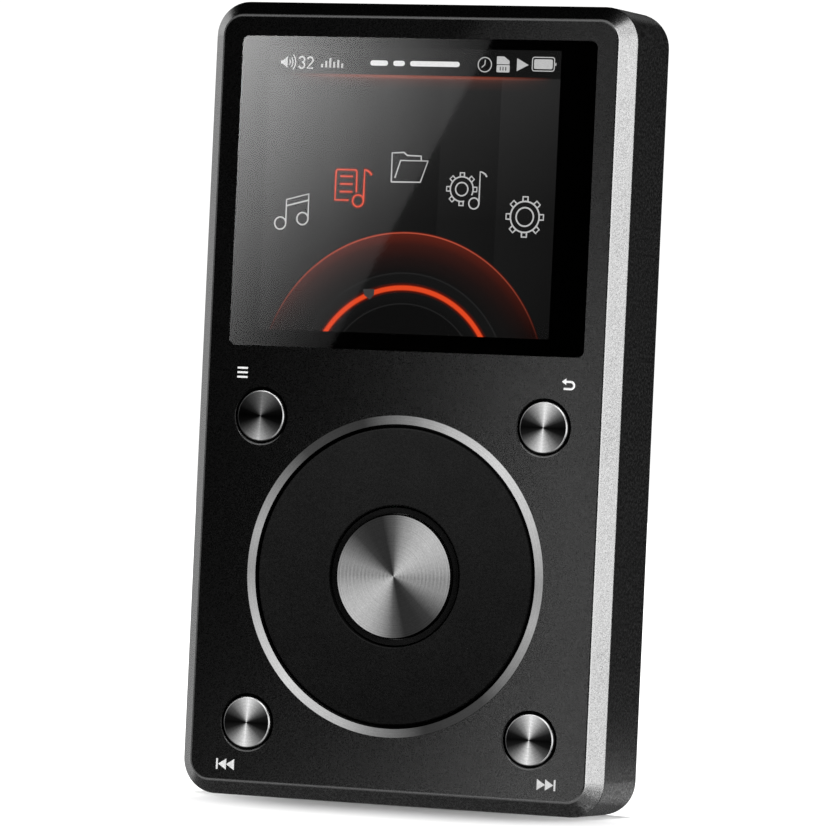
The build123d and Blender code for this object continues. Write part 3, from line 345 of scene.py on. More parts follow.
def rubbery_plastic():
    """The wheel's matt, very dark plastic, with the faint cloudy grain of a soft-touch coat."""
    m = Shader("rubbery_plastic", Specular_IOR_Level=0.25)
    grain = m.noise(5200.0, 2.0)
    cloud = m.noise(220.0, 3.0)
    tone = m.math("MULTIPLY", m.spread(grain, 0.55, 1.45), m.spread(cloud, 0.0040, 0.0054))
    m.set(Base_Color=tone, Roughness=m.spread(grain, 0.55, 0.7))
    m.bump(grain, 0.5, 0.00004)
    return m.material


def window_glass():
    """Clear hardened glass with a faint grey body, a trace of roughness, and the odd duller smear."""
    m = Shader("window_glass", Transmission_Weight=1.0, IOR=1.5)
    smear = m.noise(45.0, 4.0, 0.6)
    m.set(Base_Color=m.tint(m.spread(smear, 0.0, 1.0), grey(0.97), grey(0.99)),
          Roughness=m.spread(smear, 0.080, 0.086, 0.5, 0.8))
    return m.material


def black_ink():
    """The opaque black print round the display, on the back of the glass."""
    m = Shader("black_ink", Specular_IOR_Level=0.1)
    grain = m.noise(3000.0, 2.0)
    m.set(Base_Color=m.spread(grain, 0.0008, 0.0022), Roughness=m.spread(grain, 0.7, 0.85))
    return m.material


# ---------------------------------------------------------------- materials of the keys, ports and insides


def moulded_plastic(name, dark, light, roughness, specular=0.4):
    """Injection-moulded plastic: a spark-eroded texture, and faint clouds where it is paler and smoother."""
    m = Shader(name, Specular_IOR_Level=specular)
    grain = m.noise(4200.0, 2.0, 0.6)
    cloud = m.noise(150.0, 3.0)
    rough = m.math("ADD", m.spread(grain, roughness, roughness + 0.15), m.spread(cloud, 0.0, -0.08))
    m.set(Base_Color=m.math("MULTIPLY", m.spread(grain, 0.88, 1.12), m.spread(cloud, dark, light)),
          Roughness=rough)
    m.bump(grain, 0.25, 0.00003)
    return m.material


def rolled_steel(name, dark, light, roughness, along="X"):
    """Bright sheet metal: fine rolling lines along one axis, uneven patches, and a few slanting scratches."""
    m = Shader(name, Metallic=1.0, Anisotropic=0.4)
    squeeze = {"X": (0.03, 1.0, 1.0), "Z": (1.0, 1.0, 0.03)}[along]
    rolled = m.node("Mapping", {"Vector": m.place(), "Scale": squeeze}).outputs[0]
    turned = m.node("Mapping", {"Vector": m.place(), "Scale": (0.5, 3.0, 0.5),
                                "Rotation": (0.4, 0.6, 0.9)}).outputs[0]
    lines = m.noise(5500.0, 2.0, 0.6, rolled)
    patch = m.noise(240.0, 4.0, 0.6)
    scratch = m.spread(m.noise(1500.0, 1.0, 0.5, turned), 0.0, 1.0, 0.70, 0.74)
    tone = m.math("MULTIPLY", m.spread(lines, 0.86, 1.1), m.spread(patch, dark, light))
    rough = m.math("ADD", m.spread(lines, roughness, roughness + 0.12), m.spread(patch, 0.08, -0.04))
    m.set(Base_Color=m.tint(scratch, tone, grey(light)), Roughness=rough)
    m.bump(lines, 0.15, 0.00002)
    return m.material


def zinc_screw():
    """Black-zinc screws: a mottled passivated coat, worn brighter in specks."""
    m = Shader("zinc_screw", Metallic=1.0)
    flake = m.node("TexVoronoi", {"Vector": m.place(), "Scale": 5200.0}).outputs["Distance"]
    wear = m.spread(m.noise(900.0, 4.0, 0.7), 0.0, 1.0, 0.56, 0.66)
    tone = m.spread(flake, 0.05, 0.13, 0.0, 0.8)
    m.set(Base_Color=m.tint(wear, tone, grey(0.36)), Roughness=m.tint(wear, grey(0.42), grey(0.24)))
    m.bump(flake, 0.2, 0.00003)
    return m.material


def circuit_board():
    """Dark green solder mask over copper tracks that run square to each other, with small tinned pads."""
    m = Shader("circuit_board", Coat_Weight=0.4, Coat_Roughness=0.2)
    place = m.place()
    cells = m.node("TexVoronoi", {"Vector": place, "Scale": 620.0}, distance="CHEBYCHEV").outputs["Distance"]
    dots = m.node("TexVoronoi", {"Vector": place, "Scale": 800.0}).outputs["Distance"]
    tracks = m.math("GREATER_THAN", m.math("FRACT", m.math("MULTIPLY", cells, 4.0)), 0.55)
    pads = m.spread(dots, 1.0, 0.0, 0.15, 0.18)
    weave = m.spread(m.noise(2600.0, 2.0), 0.85, 1.15)
    mask = m.shade(m.tint(tracks, (0.006, 0.050, 0.022, 1), (0.013, 0.105, 0.045, 1)), weave)
    m.set(Base_Color=m.tint(pads, mask, (0.60, 0.60, 0.57, 1)), Metallic=pads,
          Roughness=m.spread(weave, 0.3, 0.45, 0.85, 1.15))
    m.bump(m.math("ADD", tracks, pads), 0.3, 0.00003)
    return m.material


def chip_resin():
    """Black epoxy of a chip: speckled filler, a shallow moulded texture and faint cloudy areas."""
    m = Shader("chip_resin", Specular_IOR_Level=0.45)
    filler = m.node("TexVoronoi", {"Vector": m.place(), "Scale": 9000.0}).outputs["Distance"]
    cloud = m.noise(380.0, 3.0)
    tone = m.math("MULTIPLY", m.spread(filler, 0.030, 0.016, 0.0, 0.7), m.spread(cloud, 0.85, 1.15))
    m.set(Base_Color=tone, Roughness=m.spread(cloud, 0.42, 0.58))
    m.bump(filler, 0.2, 0.00002)
    return m.material


def tantalum_resin():
    """Ochre moulded capacitors, mottled, with brown patches."""
    m = Shader("tantalum_resin", Specular_IOR_Level=0.4)
    mottle = m.noise(2400.0, 3.0, 0.6)
    band = m.spread(m.noise(170.0, 1.0), 0.0, 1.0, 0.55, 0.58)
    body = m.tint(m.spread(mottle, 0.0, 1.0), (0.42, 0.20, 0.045, 1), (0.58, 0.31, 0.085, 1))
    m.set(Base_Color=m.tint(band, body, (0.14, 0.055, 0.02, 1)), Roughness=m.spread(mottle, 0.4, 0.6))
    m.bump(mottle, 0.2, 0.00003)
    return m.material


def polyimide_film():
    """Amber flexible film over parallel copper tracks."""
    m = Shader("polyimide_film", Coat_Weight=0.5, Coat_Roughness=0.15)
    x, _, _ = m.axes()
    track = m.math("GREATER_THAN", m.math("FRACT", m.math("DIVIDE", x, 0.5 * MM)), 0.45)
    blotch = m.noise(700.0, 3.0)
    film = m.tint(track, (0.33, 0.115, 0.016, 1), (0.55, 0.235, 0.045, 1))
    m.set(Base_Color=m.shade(film, m.spread(blotch, 0.85, 1.12)), Roughness=m.spread(blotch, 0.25, 0.4))
    m.bump(track, 0.3, 0.00002)
    return m.material


def foam():
    """Charcoal closed-cell foam: crowded cells with paler walls, soft and without gloss."""
    m = Shader("foam", Specular_IOR_Level=0.15, Sheen_Weight=0.2)
    cells = m.node("TexVoronoi", {"Vector": m.place(), "Scale": 4200.0}, feature="SMOOTH_F1")
    cell = cells.outputs["Distance"]
    patch = m.noise(300.0, 3.0)
    m.set(Base_Color=m.math("MULTIPLY", m.spread(cell, 0.012, 0.040, 0.0, 0.7), m.spread(patch, 0.85, 1.2)),
          Roughness=m.spread(cell, 0.8, 0.95, 0.0, 0.7))
    m.bump(cell, 0.8, 0.00012)
    return m.material


def pouch_foil():
    """The battery's silver laminate: long soft creases and a fine pressed web."""
    m = Shader("pouch_foil", Metallic=1.0)
    crease = m.noise(90.0, 3.0, 0.45)
    cells = m.node("TexVoronoi", {"Vector": m.place(), "Scale": 1500.0}, distance="MANHATTAN")
    web = cells.outputs["Distance"]
    m.set(Base_Color=m.math("MULTIPLY", m.spread(crease, 0.55, 0.72), m.spread(web, 0.92, 1.06, 0.0, 0.8)),
          Roughness=m.spread(crease, 0.26, 0.40))
    m.bump(m.math("ADD", crease, m.math("MULTIPLY", web, 0.06)), 0.5, 0.0004)
    return m.material


def insulation(name, tone):
    """Soft insulation of a thin lead, faintly streaked, with a waxy gloss."""
    m = Shader(name, Specular_IOR_Level=0.5, Coat_Weight=0.2, Coat_Roughness=0.3)
    streak = m.noise(2800.0, 2.0)
    m.set(Base_Color=m.shade((*tone, 1.0), m.spread(streak, 0.8, 1.15)),
          Roughness=m.spread(streak, 0.35, 0.5))
    m.bump(streak, 0.2, 0.00003)
    return m.material


def milky(name, clear):
    """Milky, light-spreading plastic, faintly clouded inside, with a lightly frosted surface."""
    m = Shader(name, Transmission_Weight=clear, IOR=1.49)
    cloud = m.noise(500.0, 3.0)
    frost = m.noise(6000.0, 1.0)
    m.set(Base_Color=m.shade((0.80, 0.82, 0.84, 1.0), m.spread(cloud, 0.88, 1.05)),
          Roughness=m.spread(frost, 0.25, 0.45))
    m.bump(frost, 0.15, 0.00002)
    return m.material


def socket_plastic():
    """The jacks' hard black plastic, with a polished, faintly scuffed skin."""
    m = Shader("socket_plastic", Specular_IOR_Level=0.5, Coat_Weight=0.3, Coat_Roughness=0.15)
    scuff = m.noise(1800.0, 4.0, 0.7)
    m.set(Base_Color=m.spread(scuff, 0.012, 0.026), Roughness=m.spread(scuff, 0.22, 0.42))
    m.bump(scuff, 0.15, 0.00002)
    return m.material


def dress(material, *names):
    """Gives the CAD nodes of these names their material."""
    for name in names:
        NODES[name].material_slots[0].material = material


def dress_slot(slot, material):
    """Gives every CAD node of this slot its material."""
    subparts = frame["record"]["subparts"]
    dress(material, *[part["node"] for part in subparts if part["material_slot"] == slot])


def dress_insides():
    """Dresses the insides, the screws and the ports, slot by slot."""
    dress_slot("screw_steel", zinc_screw())
    dress_slot("foam_tape", foam())
    dress_slot("diffuser", milky("diffuser_sheet", 0.0))
    dress_slot("light_pipe", milky("light_pipe", 0.6))
    dress_slot("sheet_steel", rolled_steel("tinned_steel", 0.42, 0.58, 0.28))
    dress_slot("port_steel", rolled_steel("plated_shell", 0.50, 0.62, 0.22, along="Z"))
    dress_slot("flex_film", polyimide_film())
    dress_slot("switch_plastic", moulded_plastic("nylon", 0.030, 0.045, 0.5))
    dress_slot("inner_plastic", moulded_plastic("glass_filled_plastic", 0.0035, 0.0055, 0.55, 0.2))
    dress_slot("board", circuit_board())
    dress_slot("chip_resin", chip_resin())
    dress_slot("capacitor_resin", tantalum_resin())
    dress_slot("jack_plastic", socket_plastic())
    dress_slot("battery_foil", pouch_foil())
    dress_slot("lead_red", insulation("red_insulation", (0.55, 0.02, 0.015)))
    dress_slot("lead_black", insulation("black_insulation", (0.03, 0.03, 0.032)))


# ---------------------------------------------------------------- the lit display

PANEL_CENTRE = (PANEL_LOW + PANEL_HIGH) / 2
ICON_PLANE = Vector((PANEL_CENTRE.x, PANEL_LOW.y - 0.04 * MM, PANEL_CENTRE.z))
NEARER_PLANE = ICON_PLANE + Vector((0, -0.03 * MM, 0))   # for signs that lie over others
ICON_PLATE = 0.03 * MM           # thickness of the flat icons
ICON_LINE = 0.24                 # width of the menu icons' lines, in mm, as are the values below
DIAL_HEIGHT = -26.8              # the dial's centre, below the panel's centre
DIAL_RADIUS = 21.1
DIAL_RAMP = (10.0, 22.0)         # the radii that the dial's ramps of tones run between
STATUS_LINE = 15.55              # the red line under the status bar
ACTIVE_HALF = (21.5, 19.45)      # half the lit area's width and height
ACTIVE_DROP = 0.05               # how far the lit area's centre lies below the panel's
COLUMNS = 5                      # a count, of the background's soft columns


def backdrop(m, u, w):
    """The background, lighter towards the top and in soft columns, with the status bar and its red line."""
    half = ACTIVE_HALF[0]
    back = m.greys(m.spread(w, 0.0, 1.0, -20.0, 20.0), (0.0, 0.0075), (0.25, 0.0095), (0.4, 0.0100),
                   (0.65, 0.0185), (0.85, 0.0275), (1.0, 0.030))
    column = m.math("FRACT", m.math("DIVIDE", m.math("ADD", u, half), 2 * half / COLUMNS))
    back = m.shade(back, m.spread(column, 1.14, 0.84, 0.0, 1.0))
    back = m.shade(back, m.spread(m.noise(3600.0, 2.0), 0.92, 1.08, 0.25, 0.75, clamp=False))
    back = m.tint(m.math("GREATER_THAN", w, STATUS_LINE), back, grey(0.0088))
    below = m.spread(m.math("SUBTRACT", STATUS_LINE, w), 0.0, 1.0, -0.2, 1.8)
    line = m.greys(below, (0.0, 0.0), (0.05, 1.0), (0.19, 0.9), (0.25, 0.35), (0.5, 0.12), (1.0, 0.0))
    along = m.greys(m.spread(u, 0.0, 1.0, -half, half), (0.06, 0.0), (0.20, 0.5), (0.4, 1.0), (0.75, 0.8),
                    (0.97, 0.0))
    return m.tint(1.0, back, m.shade(m.shade(line, along), (0.24, 0.045, 0.022, 1)), "ADD")


def at(radius):
    """The place of a radius on the dial's ramps."""
    return (radius - DIAL_RAMP[0]) / (DIAL_RAMP[1] - DIAL_RAMP[0])


def dial(m, radius, w):
    """The half dial: a glowing red ring between fine grey ones, in a red-edged disc that fades low down."""
    reach = m.spread(radius, 0.0, 1.0, *DIAL_RAMP)
    glow, halo, edge = (0.82, 0.070, 0.018), (0.10, 0.008, 0.004), (0.52, 0.085, 0.045)
    rings = m.greys(reach, (at(11.3), 0.0050), (at(11.42), 0.020), (at(11.55), 0.0060), (at(12.9), 0.0080),
                    (at(13.2), halo), (at(13.36), glow), (at(13.84), glow), (at(14.0), halo),
                    (at(14.35), 0.0085), (at(15.45), 0.0085), (at(15.6), 0.020), (at(15.75), 0.0070),
                    (at(17.0), 0.0072), (at(19.0), 0.0055), (at(21.0), 0.0030))
    blush = m.greys(reach, (at(15.6), 0.0), (at(17.5), (0.010, 0.0018, 0.0012)),
                    (at(19.5), (0.038, 0.0065, 0.0040)), (at(20.98), (0.105, 0.013, 0.0065)),
                    (at(21.02), edge), (at(21.10), edge), (at(21.2), (0.06, 0.008, 0.005)))
    return m.tint(1.0, rings, m.shade(blush, m.spread(w, 0.10, 1.0, -19.0, -7.0)), "ADD")


def lit_picture():
    """The display's own picture: a dim striped background, a status bar and a glowing half dial."""
    m = Shader("lit_picture", Base_Color=grey(0.002), Roughness=0.4, Specular_IOR_Level=0.0,
               Emission_Strength=1.0)
    x, y, z = m.axes()
    # u to the right and w upward, in mm from the panel's centre
    u = m.math("MULTIPLY", m.math("SUBTRACT", x, PANEL_CENTRE.x), 1 / MM)
    w = m.math("MULTIPLY", m.math("SUBTRACT", z, PANEL_CENTRE.z), 1 / MM)
    radius = m.length(u, m.math("SUBTRACT", w, DIAL_HEIGHT))
    outside = m.math("GREATER_THAN", radius, DIAL_RADIUS + 0.2)
    picture = m.tint(outside, dial(m, radius, w), backdrop(m, u, w))
    height = m.math("ABSOLUTE", m.math("ADD", w, ACTIVE_DROP))
    inside = m.math("MULTIPLY", m.math("LESS_THAN", m.math("ABSOLUTE", u), ACTIVE_HALF[0]),
                    m.math("LESS_THAN", height, ACTIVE_HALF[1]))
    lit = m.math("MULTIPLY", inside, m.math("LESS_THAN", y, PANEL_LOW.y + 0.05 * MM))
    m.set(Emission_Color=m.tint(lit, grey(0.0), picture))
    return m.material


def glowing_print(name, colour):
    """One colour of the display's icons, with the display's fine grain."""
    m = Shader(name, Base_Color=grey(0.002), Roughness=0.4, Specular_IOR_Level=0.0, Emission_Strength=1.0)
    grain = m.spread(m.noise(5200.0, 2.0), 0.92, 1.06, 0.25, 0.75, clamp=False)
    m.set(Emission_Color=m.shade((*colour, 1), grain))
    return m.material


def finished(bm, name):
    """An object of the shape built in bm."""
    mesh = bpy.data.meshes.new(name)
    bm.to_mesh(mesh)
    bm.free()
    return bpy.data.objects.new(name, mesh)


def add_piece(obj, material, slot):
    """Adds a piece that rides on the casing."""
    bpy.context.collection.objects.link(obj)
    obj.data.materials.append(material)
    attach(obj, "casing")
    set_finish(obj, slot)


def strokes(name, lines, width, origin, material, slot, flat=0.12):
    """Line drawing standing on a plane that faces the front: lines are (points, closed), in mm from origin.

    flat is how deep a line is, as a part of its width."""
    curve = bpy.data.curves.new(name + "_path", "CURVE")
    curve.dimensions = "3D"
    curve.bevel_depth = width / 2 * MM
    curve.bevel_resolution = 1
    curve.use_fill_caps = True
    for points, closed in lines:
        spline = curve.splines.new("POLY")
        spline.points.add(len(points) - 1)
        for point, (u, w) in zip(spline.points, points):
            point.co = (u * MM, 0.0, w * MM, 1.0)
        spline.use_cyclic_u = closed
    holder = bpy.data.objects.new(name + "_holder", curve)
    mesh = bpy.data.meshes.new_from_object(holder)
    bpy.data.objects.remove(holder)
    bpy.data.curves.remove(curve)
    mesh.name = name
    mesh.transform(Matrix.Translation(origin) @ Matrix.Diagonal((1.0, flat, 1.0, 1.0)))
    mesh.materials.clear()
    for face in mesh.polygons:
        face.use_smooth = True
    add_piece(bpy.data.objects.new(name, mesh), material, slot)


def plates(name, outlines, thickness, origin, material, slot):
    """Thin solid shapes standing on a plane that faces the front: outlines are points in mm from origin."""
    bm = bmesh.new()
    y = origin.y - thickness / 2
    for outline in outlines:
        near = [bm.verts.new((origin.x + u * MM, y, origin.z + w * MM)) for u, w in outline]
        far = [bm.verts.new(v.co + Vector((0, thickness, 0))) for v in near]
        bm.faces.new(near)
        bm.faces.new(reversed(far))
        for i, v in enumerate(near):
            j = (i + 1) % len(near)
            bm.faces.new((v, far[i], far[j], near[j]))
    bmesh.ops.recalc_face_normals(bm, faces=bm.faces)
    add_piece(finished(bm, name), material, slot)


def drawn(name, lines, width, ink, origin=ICON_PLANE, flat=0.12):
    """An icon of lines on the display."""
    strokes(name, lines, width, origin, ink, "lcd_glass", flat)


def cut_out(name, outlines, ink, origin=ICON_PLANE):
    """An icon of flat shapes on the display."""
    plates(name, outlines, ICON_PLATE, origin, ink, "lcd_glass")


def circle(u, w, radius, start=0.0, end=360.0, steps=36):
    """Points round an arc, in mm. A full circle leaves out its last point, since it is closed."""
    whole = abs(end - start) >= 360.0
    angles = [math.radians(start + (end - start) * i / steps) for i in range(steps if whole else steps + 1)]
    return [(u + radius * math.cos(angle), w + radius * math.sin(angle)) for angle in angles]


def rounded(u, w, half_width, half_height, corner):
    """A rounded rectangle's outline round (u, w)."""
    across, up = half_width - corner, half_height - corner
    points = []
    for cx, cy, start in ((1, 1, 0), (-1, 1, 90), (-1, -1, 180), (1, -1, 270)):
        points += circle(u + cx * across, w + cy * up, corner, start, start + 90, 4)
    return points


def cog(u, w, inner, rim, tooth, half_tooth, gap=None):
    """A gear's lines: a hub, a round rim, and eight open square teeth standing on it.

    gap is (start, end) in degrees of the stretch of rim, with its teeth, left out where another sign is."""
    round_rim = (circle(u, w, rim, gap[1], gap[0] + 360.0), False) if gap else (circle(u, w, rim), True)
    lines = [(circle(u, w, inner), True), round_rim]
    for angle in range(0, 360, 45):
        if gap and gap[0] < angle - 360 * (angle > 180) < gap[1]:
            continue
        out = Vector((math.cos(math.radians(angle)), math.sin(math.radians(angle))))
        side = Vector((-out.y, out.x)) * half_tooth
        corners = (out * rim + side, out * tooth + side, out * tooth - side, out * rim - side)
        lines.append(([(u + c.x, w + c.y) for c in corners], False))
    return lines


def note(u, w, head, stem):
    """A single music note: a round head, its stem and a short flag."""
    x, top = u + head, w + stem
    flag = [(x + 0.5 * head, top - 0.12 * head), (x + 1.0 * head, top - 0.42 * head),
            (x + 1.35 * head, top - 0.9 * head)]
    return [(circle(u, w, head), True), ([(x, w), (x, top)] + flag, False)]


def menu_icons(pale, red, dim_red):
    """The five menu icons, left to right on an arc."""
    drawn("icon_two_notes", [(circle(-19.0, -4.9, 0.83), True), (circle(-15.7, -4.2, 0.83), True),
                             ([(-18.17, -4.9), (-18.2, -1.65), (-14.9, -0.8), (-14.87, -4.2)], False),
                             ([(-18.18, -2.5), (-14.88, -1.65)], False)], ICON_LINE, pale)
    sheet = [(-8.9, -1.5), (-10.95, -1.5), (-10.95, 2.35), (-10.75, 2.65), (-8.05, 2.65), (-7.85, 2.4),
             (-7.8, -0.4)]
    rows = [([(-10.3, w), (-8.4, w)], False) for w in (1.75, 0.7, -0.35)]
    playlist = [(sheet, False)] + rows + note(-7.5, -1.55, 0.8, 4.25)
    drawn("icon_playlist_halo", playlist, 0.75, dim_red, flat=0.03)
    drawn("icon_playlist", playlist, 0.26, red, NEARER_PLANE)
    back = [(-2.7, 1.15), (-2.75, 5.1), (-1.0, 5.2), (-0.5, 4.8), (1.55, 4.75), (1.6, 4.2)]
    flap = [(-2.2, 1.7), (-1.45, 4.1), (2.6, 4.1), (1.6, 1.2), (-2.7, 1.15)]
    drawn("icon_folder", [(back, False), (flap, False)], ICON_LINE, pale)
    cog_note = cog(7.75, 0.42, 0.90, 1.68, 2.22, 0.30, (-75.0, -28.0)) + note(9.62, -1.47, 0.74, 4.3)
    drawn("icon_cog_note", cog_note, 0.22, pale)
    drawn("icon_cog", cog(17.15, -3.1, 1.26, 2.10, 2.72, 0.36), ICON_LINE, pale)


def status_bar(pale, bright, dark):
    """Loudspeaker, a level in figures, bars in place of words, clock, card, play and battery."""
    cut_out("icon_speaker", [[(-20.0, 16.95), (-19.65, 16.95), (-19.0, 16.4), (-19.0, 18.0),
                              (-19.65, 17.45), (-20.0, 17.45)]], pale)
    waves = ((0.75, 28), (1.15, 35), (1.55, 41))
    drawn("icon_sound", [(circle(-19.35, 17.2, r, -half, half, 10), False) for r, half in waves], 0.18, pale)
    three = circle(-16.87, 17.58, 0.40, 165, -80, 10) + circle(-16.87, 16.82, 0.43, 80, -165, 10)
    two = circle(-15.62, 17.52, 0.42, 165, -25, 10) + [(-16.04, 16.42), (-15.14, 16.42)]
    drawn("level_figures", [(three, False), (two, False)], 0.27, pale)
    bars = ((-13.8, 0.5), (-13.2, 0.9), (-12.6, 1.3), (-12.0, 0.8), (-11.4, 1.1), (-10.8, 0.6))
    drawn("status_bars", [([(u, 16.55), (u, 16.55 + tall)], False) for u, tall in bars], 0.3, pale)
    words = ((-5.3, 1.3), (-2.35, 0.85), (2.95, 3.65))
    cut_out("title_bars", [rounded(u, 17.3, half, 0.36, 0.34) for u, half in words], bright)
    drawn("icon_clock", [(circle(10.3, 17.35, 0.98), True),
                         ([(10.35, 18.0), (10.3, 17.35), (9.85, 16.95)], False)], 0.16, pale)
    cut_out("icon_card", [[(12.05, 17.45), (12.05, 18.5), (13.1, 18.5), (13.9, 17.9), (13.9, 17.45)],
                          rounded(13.0, 16.85, 0.95, 0.5, 0.15)], pale)
    drawn("icon_card_pins", [([(u, 16.6), (u, 17.1)], False) for u in (12.6, 13.0, 13.4)], 0.14, dark,
          NEARER_PLANE)
    cut_out("icon_play", [[(15.0, 16.55), (16.7, 17.4), (15.0, 18.3)]], pale)
    drawn("icon_battery_case", [(rounded(18.85, 17.55, 1.6, 0.92, 0.3), True),
                                ([(20.65, 17.35), (20.65, 17.75)], False)], 0.15, pale)
    cut_out("icon_battery_charge", [rounded(18.85, 17.55, 1.35, 0.66, 0.2)], pale)


def display():
    """The display's picture, its icons just in front of it, and the marker on the dial's glowing ring."""
    dress(lit_picture(), "lcd_panel")
    pale = glowing_print("pale_print", (0.56, 0.56, 0.56))
    bright = glowing_print("bright_print", (0.85, 0.85, 0.85))
    red = glowing_print("red_print", (0.80, 0.085, 0.035))
    dim_red = glowing_print("dim_red_print", (0.085, 0.008, 0.004))
    dark = glowing_print("dark_print", (0.050, 0.050, 0.050))
    menu_icons(pale, red, dim_red)
    status_bar(pale, bright, dark)
    cut_out("dial_marker", [[(-6.15, -13.55), (-4.45, -13.5), (-4.5, -14.35), (-5.1, -14.95),
                             (-5.9, -14.4)]], dark, NEARER_PLANE)


def window_frame():
    """The black printed border just behind the window, with the display showing through its opening."""
    thickness, inset, corners = 0.02 * MM, 0.15 * MM, ((1, 1), (-1, 1), (-1, -1), (1, -1))
    half_x = ACTIVE_HALF[0] * MM * 1.002
    opening = [(PANEL_CENTRE.x + u * half_x, PANEL_CENTRE.z + (w * ACTIVE_HALF[1] - ACTIVE_DROP) * MM)
               for u, w in corners]
    rim = [(WINDOW_HIGH.x - inset if u > 0 else WINDOW_LOW.x + inset,
            WINDOW_HIGH.z - inset if w > 0 else WINDOW_LOW.z + inset) for u, w in corners]
    bm = bmesh.new()
    layers = []
    for y in (WINDOW_HIGH.y - thickness, WINDOW_HIGH.y):
        layers.append([[bm.verts.new((x, y, z)) for x, z in outline] for outline in (opening, rim)])
    (hole_a, rim_a), (hole_b, rim_b) = layers
    for i in range(4):
        j = (i + 1) % 4
        bm.faces.new((hole_a[i], hole_a[j], rim_a[j], rim_a[i]))
        bm.faces.new((hole_b[j], hole_b[i], rim_b[i], rim_b[j]))
        bm.faces.new((hole_a[j], hole_a[i], hole_b[i], hole_b[j]))
        bm.faces.new((rim_a[i], rim_a[j], rim_b[j], rim_b[i]))
    bmesh.ops.recalc_face_normals(bm, faces=bm.faces)
    add_piece(finished(bm, "window_print"), black_ink(), "lcd_glass")


# ---------------------------------------------------------------- signs printed on the casing


def printed_ink():
    """The pale grey ink of the signs, a little uneven."""
    m = Shader("printed_ink", Specular_IOR_Level=0.3)
    grain = m.noise(4000.0, 2.0)
    m.set(Base_Color=m.spread(grain, 0.64, 0.74), Roughness=m.spread(grain, 0.5, 0.65))
    return m.material


def casing_signs():
    """The four signs printed on the front beside the small keys."""
    ink, slot, thick = printed_ink(), "wheel_plastic", 0.024 * MM

    def origin(x, z):
        return Vector((x * MM, HOUSING_LOW.y - 0.01 * MM, z * MM))

    bars = [rounded(0.0, w, 0.78, 0.13, 0.05) for w in (-0.62, 0.0, 0.62)]
    plates("sign_menu", bars, thick, origin(-23.95, 57.95), ink, slot)
    back = [[(-1.35, -0.75), (-1.1, -0.75), (-1.1, 0.75), (-1.35, 0.75)],
            [(-1.05, 0.0), (0.15, -0.75), (0.15, 0.75)], [(0.15, 0.0), (1.35, -0.75), (1.35, 0.75)]]
    plates("sign_previous", back, thick, origin(-23.88, 4.2), ink, slot)
    onward = [[(-u, -w) for u, w in outline] for outline in back]
    plates("sign_next", onward, thick, origin(23.63, 4.25), ink, slot)
    hook = [(-0.3, 0.35), (0.35, 0.35)] + circle(0.35, -0.13, 0.48, 90, -90, 10) + [(-0.65, -0.61)]
    strokes("sign_back", [(hook, False)], 0.36, origin(24.2, 58.05), ink, slot, flat=0.05)
    arrow = [(-0.95, 0.35), (-0.3, 0.8), (-0.3, -0.1)]
    plates("sign_back_arrow", [arrow], thick, origin(24.2, 58.05), ink, slot)


# ---------------------------------------------------------------- floor, world and lights


FLOOR_HALF = 6.0         # half the floor's width, in metres
FLOOR_GAP = 0.02 * MM    # under the player, so that no two faces coincide


def floor():
    """The pale floor. The metal doesn't mirror it: a light below it stands in for its glow."""
    bm = bmesh.new()
    corners = ((-1, -1), (1, -1), (1, 1), (-1, 1))
    bm.faces.new([bm.verts.new((u * FLOOR_HALF, v * FLOOR_HALF, CAD_LOW.z - FLOOR_GAP)) for u, v in corners])
    obj = finished(bm, "floor")
    bpy.context.collection.objects.link(obj)
    m = Shader("pale_floor", Roughness=0.8, Specular_IOR_Level=0.1)
    m.set(Base_Color=m.spread(m.noise(25.0, 3.0), 0.91, 0.95))
    obj.data.materials.append(m.material)
    obj.visible_glossy = False
    obj.visible_transmission = False
    obj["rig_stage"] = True


ROOM_WHITE = 1.1    # the backdrop itself
ROOM_LIGHT = 0.45   # the light it gives


def world():
    """A white room that the camera sees bright, and that lights the player less. Nothing mirrors it."""
    made = bpy.data.worlds.new("white_room")
    made.use_nodes = True
    back = made.node_tree.nodes["Background"]
    back.inputs["Color"].default_value = (1, 1, 1, 1)
    seen = made.node_tree.nodes.new("ShaderNodeLightPath").outputs["Is Camera Ray"]
    strength = made.node_tree.nodes.new("ShaderNodeMapRange")
    strength.inputs["To Min"].default_value = ROOM_LIGHT
    strength.inputs["To Max"].default_value = ROOM_WHITE
    made.node_tree.links.new(seen, strength.inputs["Value"])
    made.node_tree.links.new(strength.outputs[0], back.inputs["Strength"])
    made.cycles_visibility.glossy = False
    made.cycles_visibility.transmission = False
    bpy.context.scene.world = made
    bpy.context.scene.view_settings.view_transform = "Standard"


def group(name, objects):
    """A collection of these objects, for light linking."""
    made = bpy.data.collections.new(name)
    for obj in objects:
        made.objects.link(obj)
    return made


def receivers(light, objects):
    """Makes a light reach only these objects."""
    light.light_linking.receiver_collection = group(light.name + "_receivers", objects)


def softbox(name, place, aim, size, radiance, nodes):
    """A rectangular soft light at place, facing aim. It lights only nodes, and only the player shades it."""
    data = bpy.data.lights.new(name, "AREA")
    data.shape = "RECTANGLE"
    data.size, data.size_y = size
    data.energy = radiance * math.pi * size[0] * size[1]
    light = bpy.data.objects.new(name, data)
    light.location = place
    light.rotation_mode = "QUATERNION"
    light.rotation_quaternion = (Vector(aim) - Vector(place)).to_track_quat("-Z", "Y")
    light.visible_camera = False
    bpy.context.collection.objects.link(light)
    receivers(light, nodes)
    light.light_linking.blocker_collection = bpy.data.collections["player_pieces"]
    return light


def towards(direction, distance):
    """The point this far from the middle of the front in a direction."""
    return TARGET + Vector(direction).normalized() * distance


def mirrored(normal):
    """The direction that a polished face with this normal shows to the camera."""
    n = Vector(normal).normalized()
    return 2 * n.dot(BACK) * n - BACK


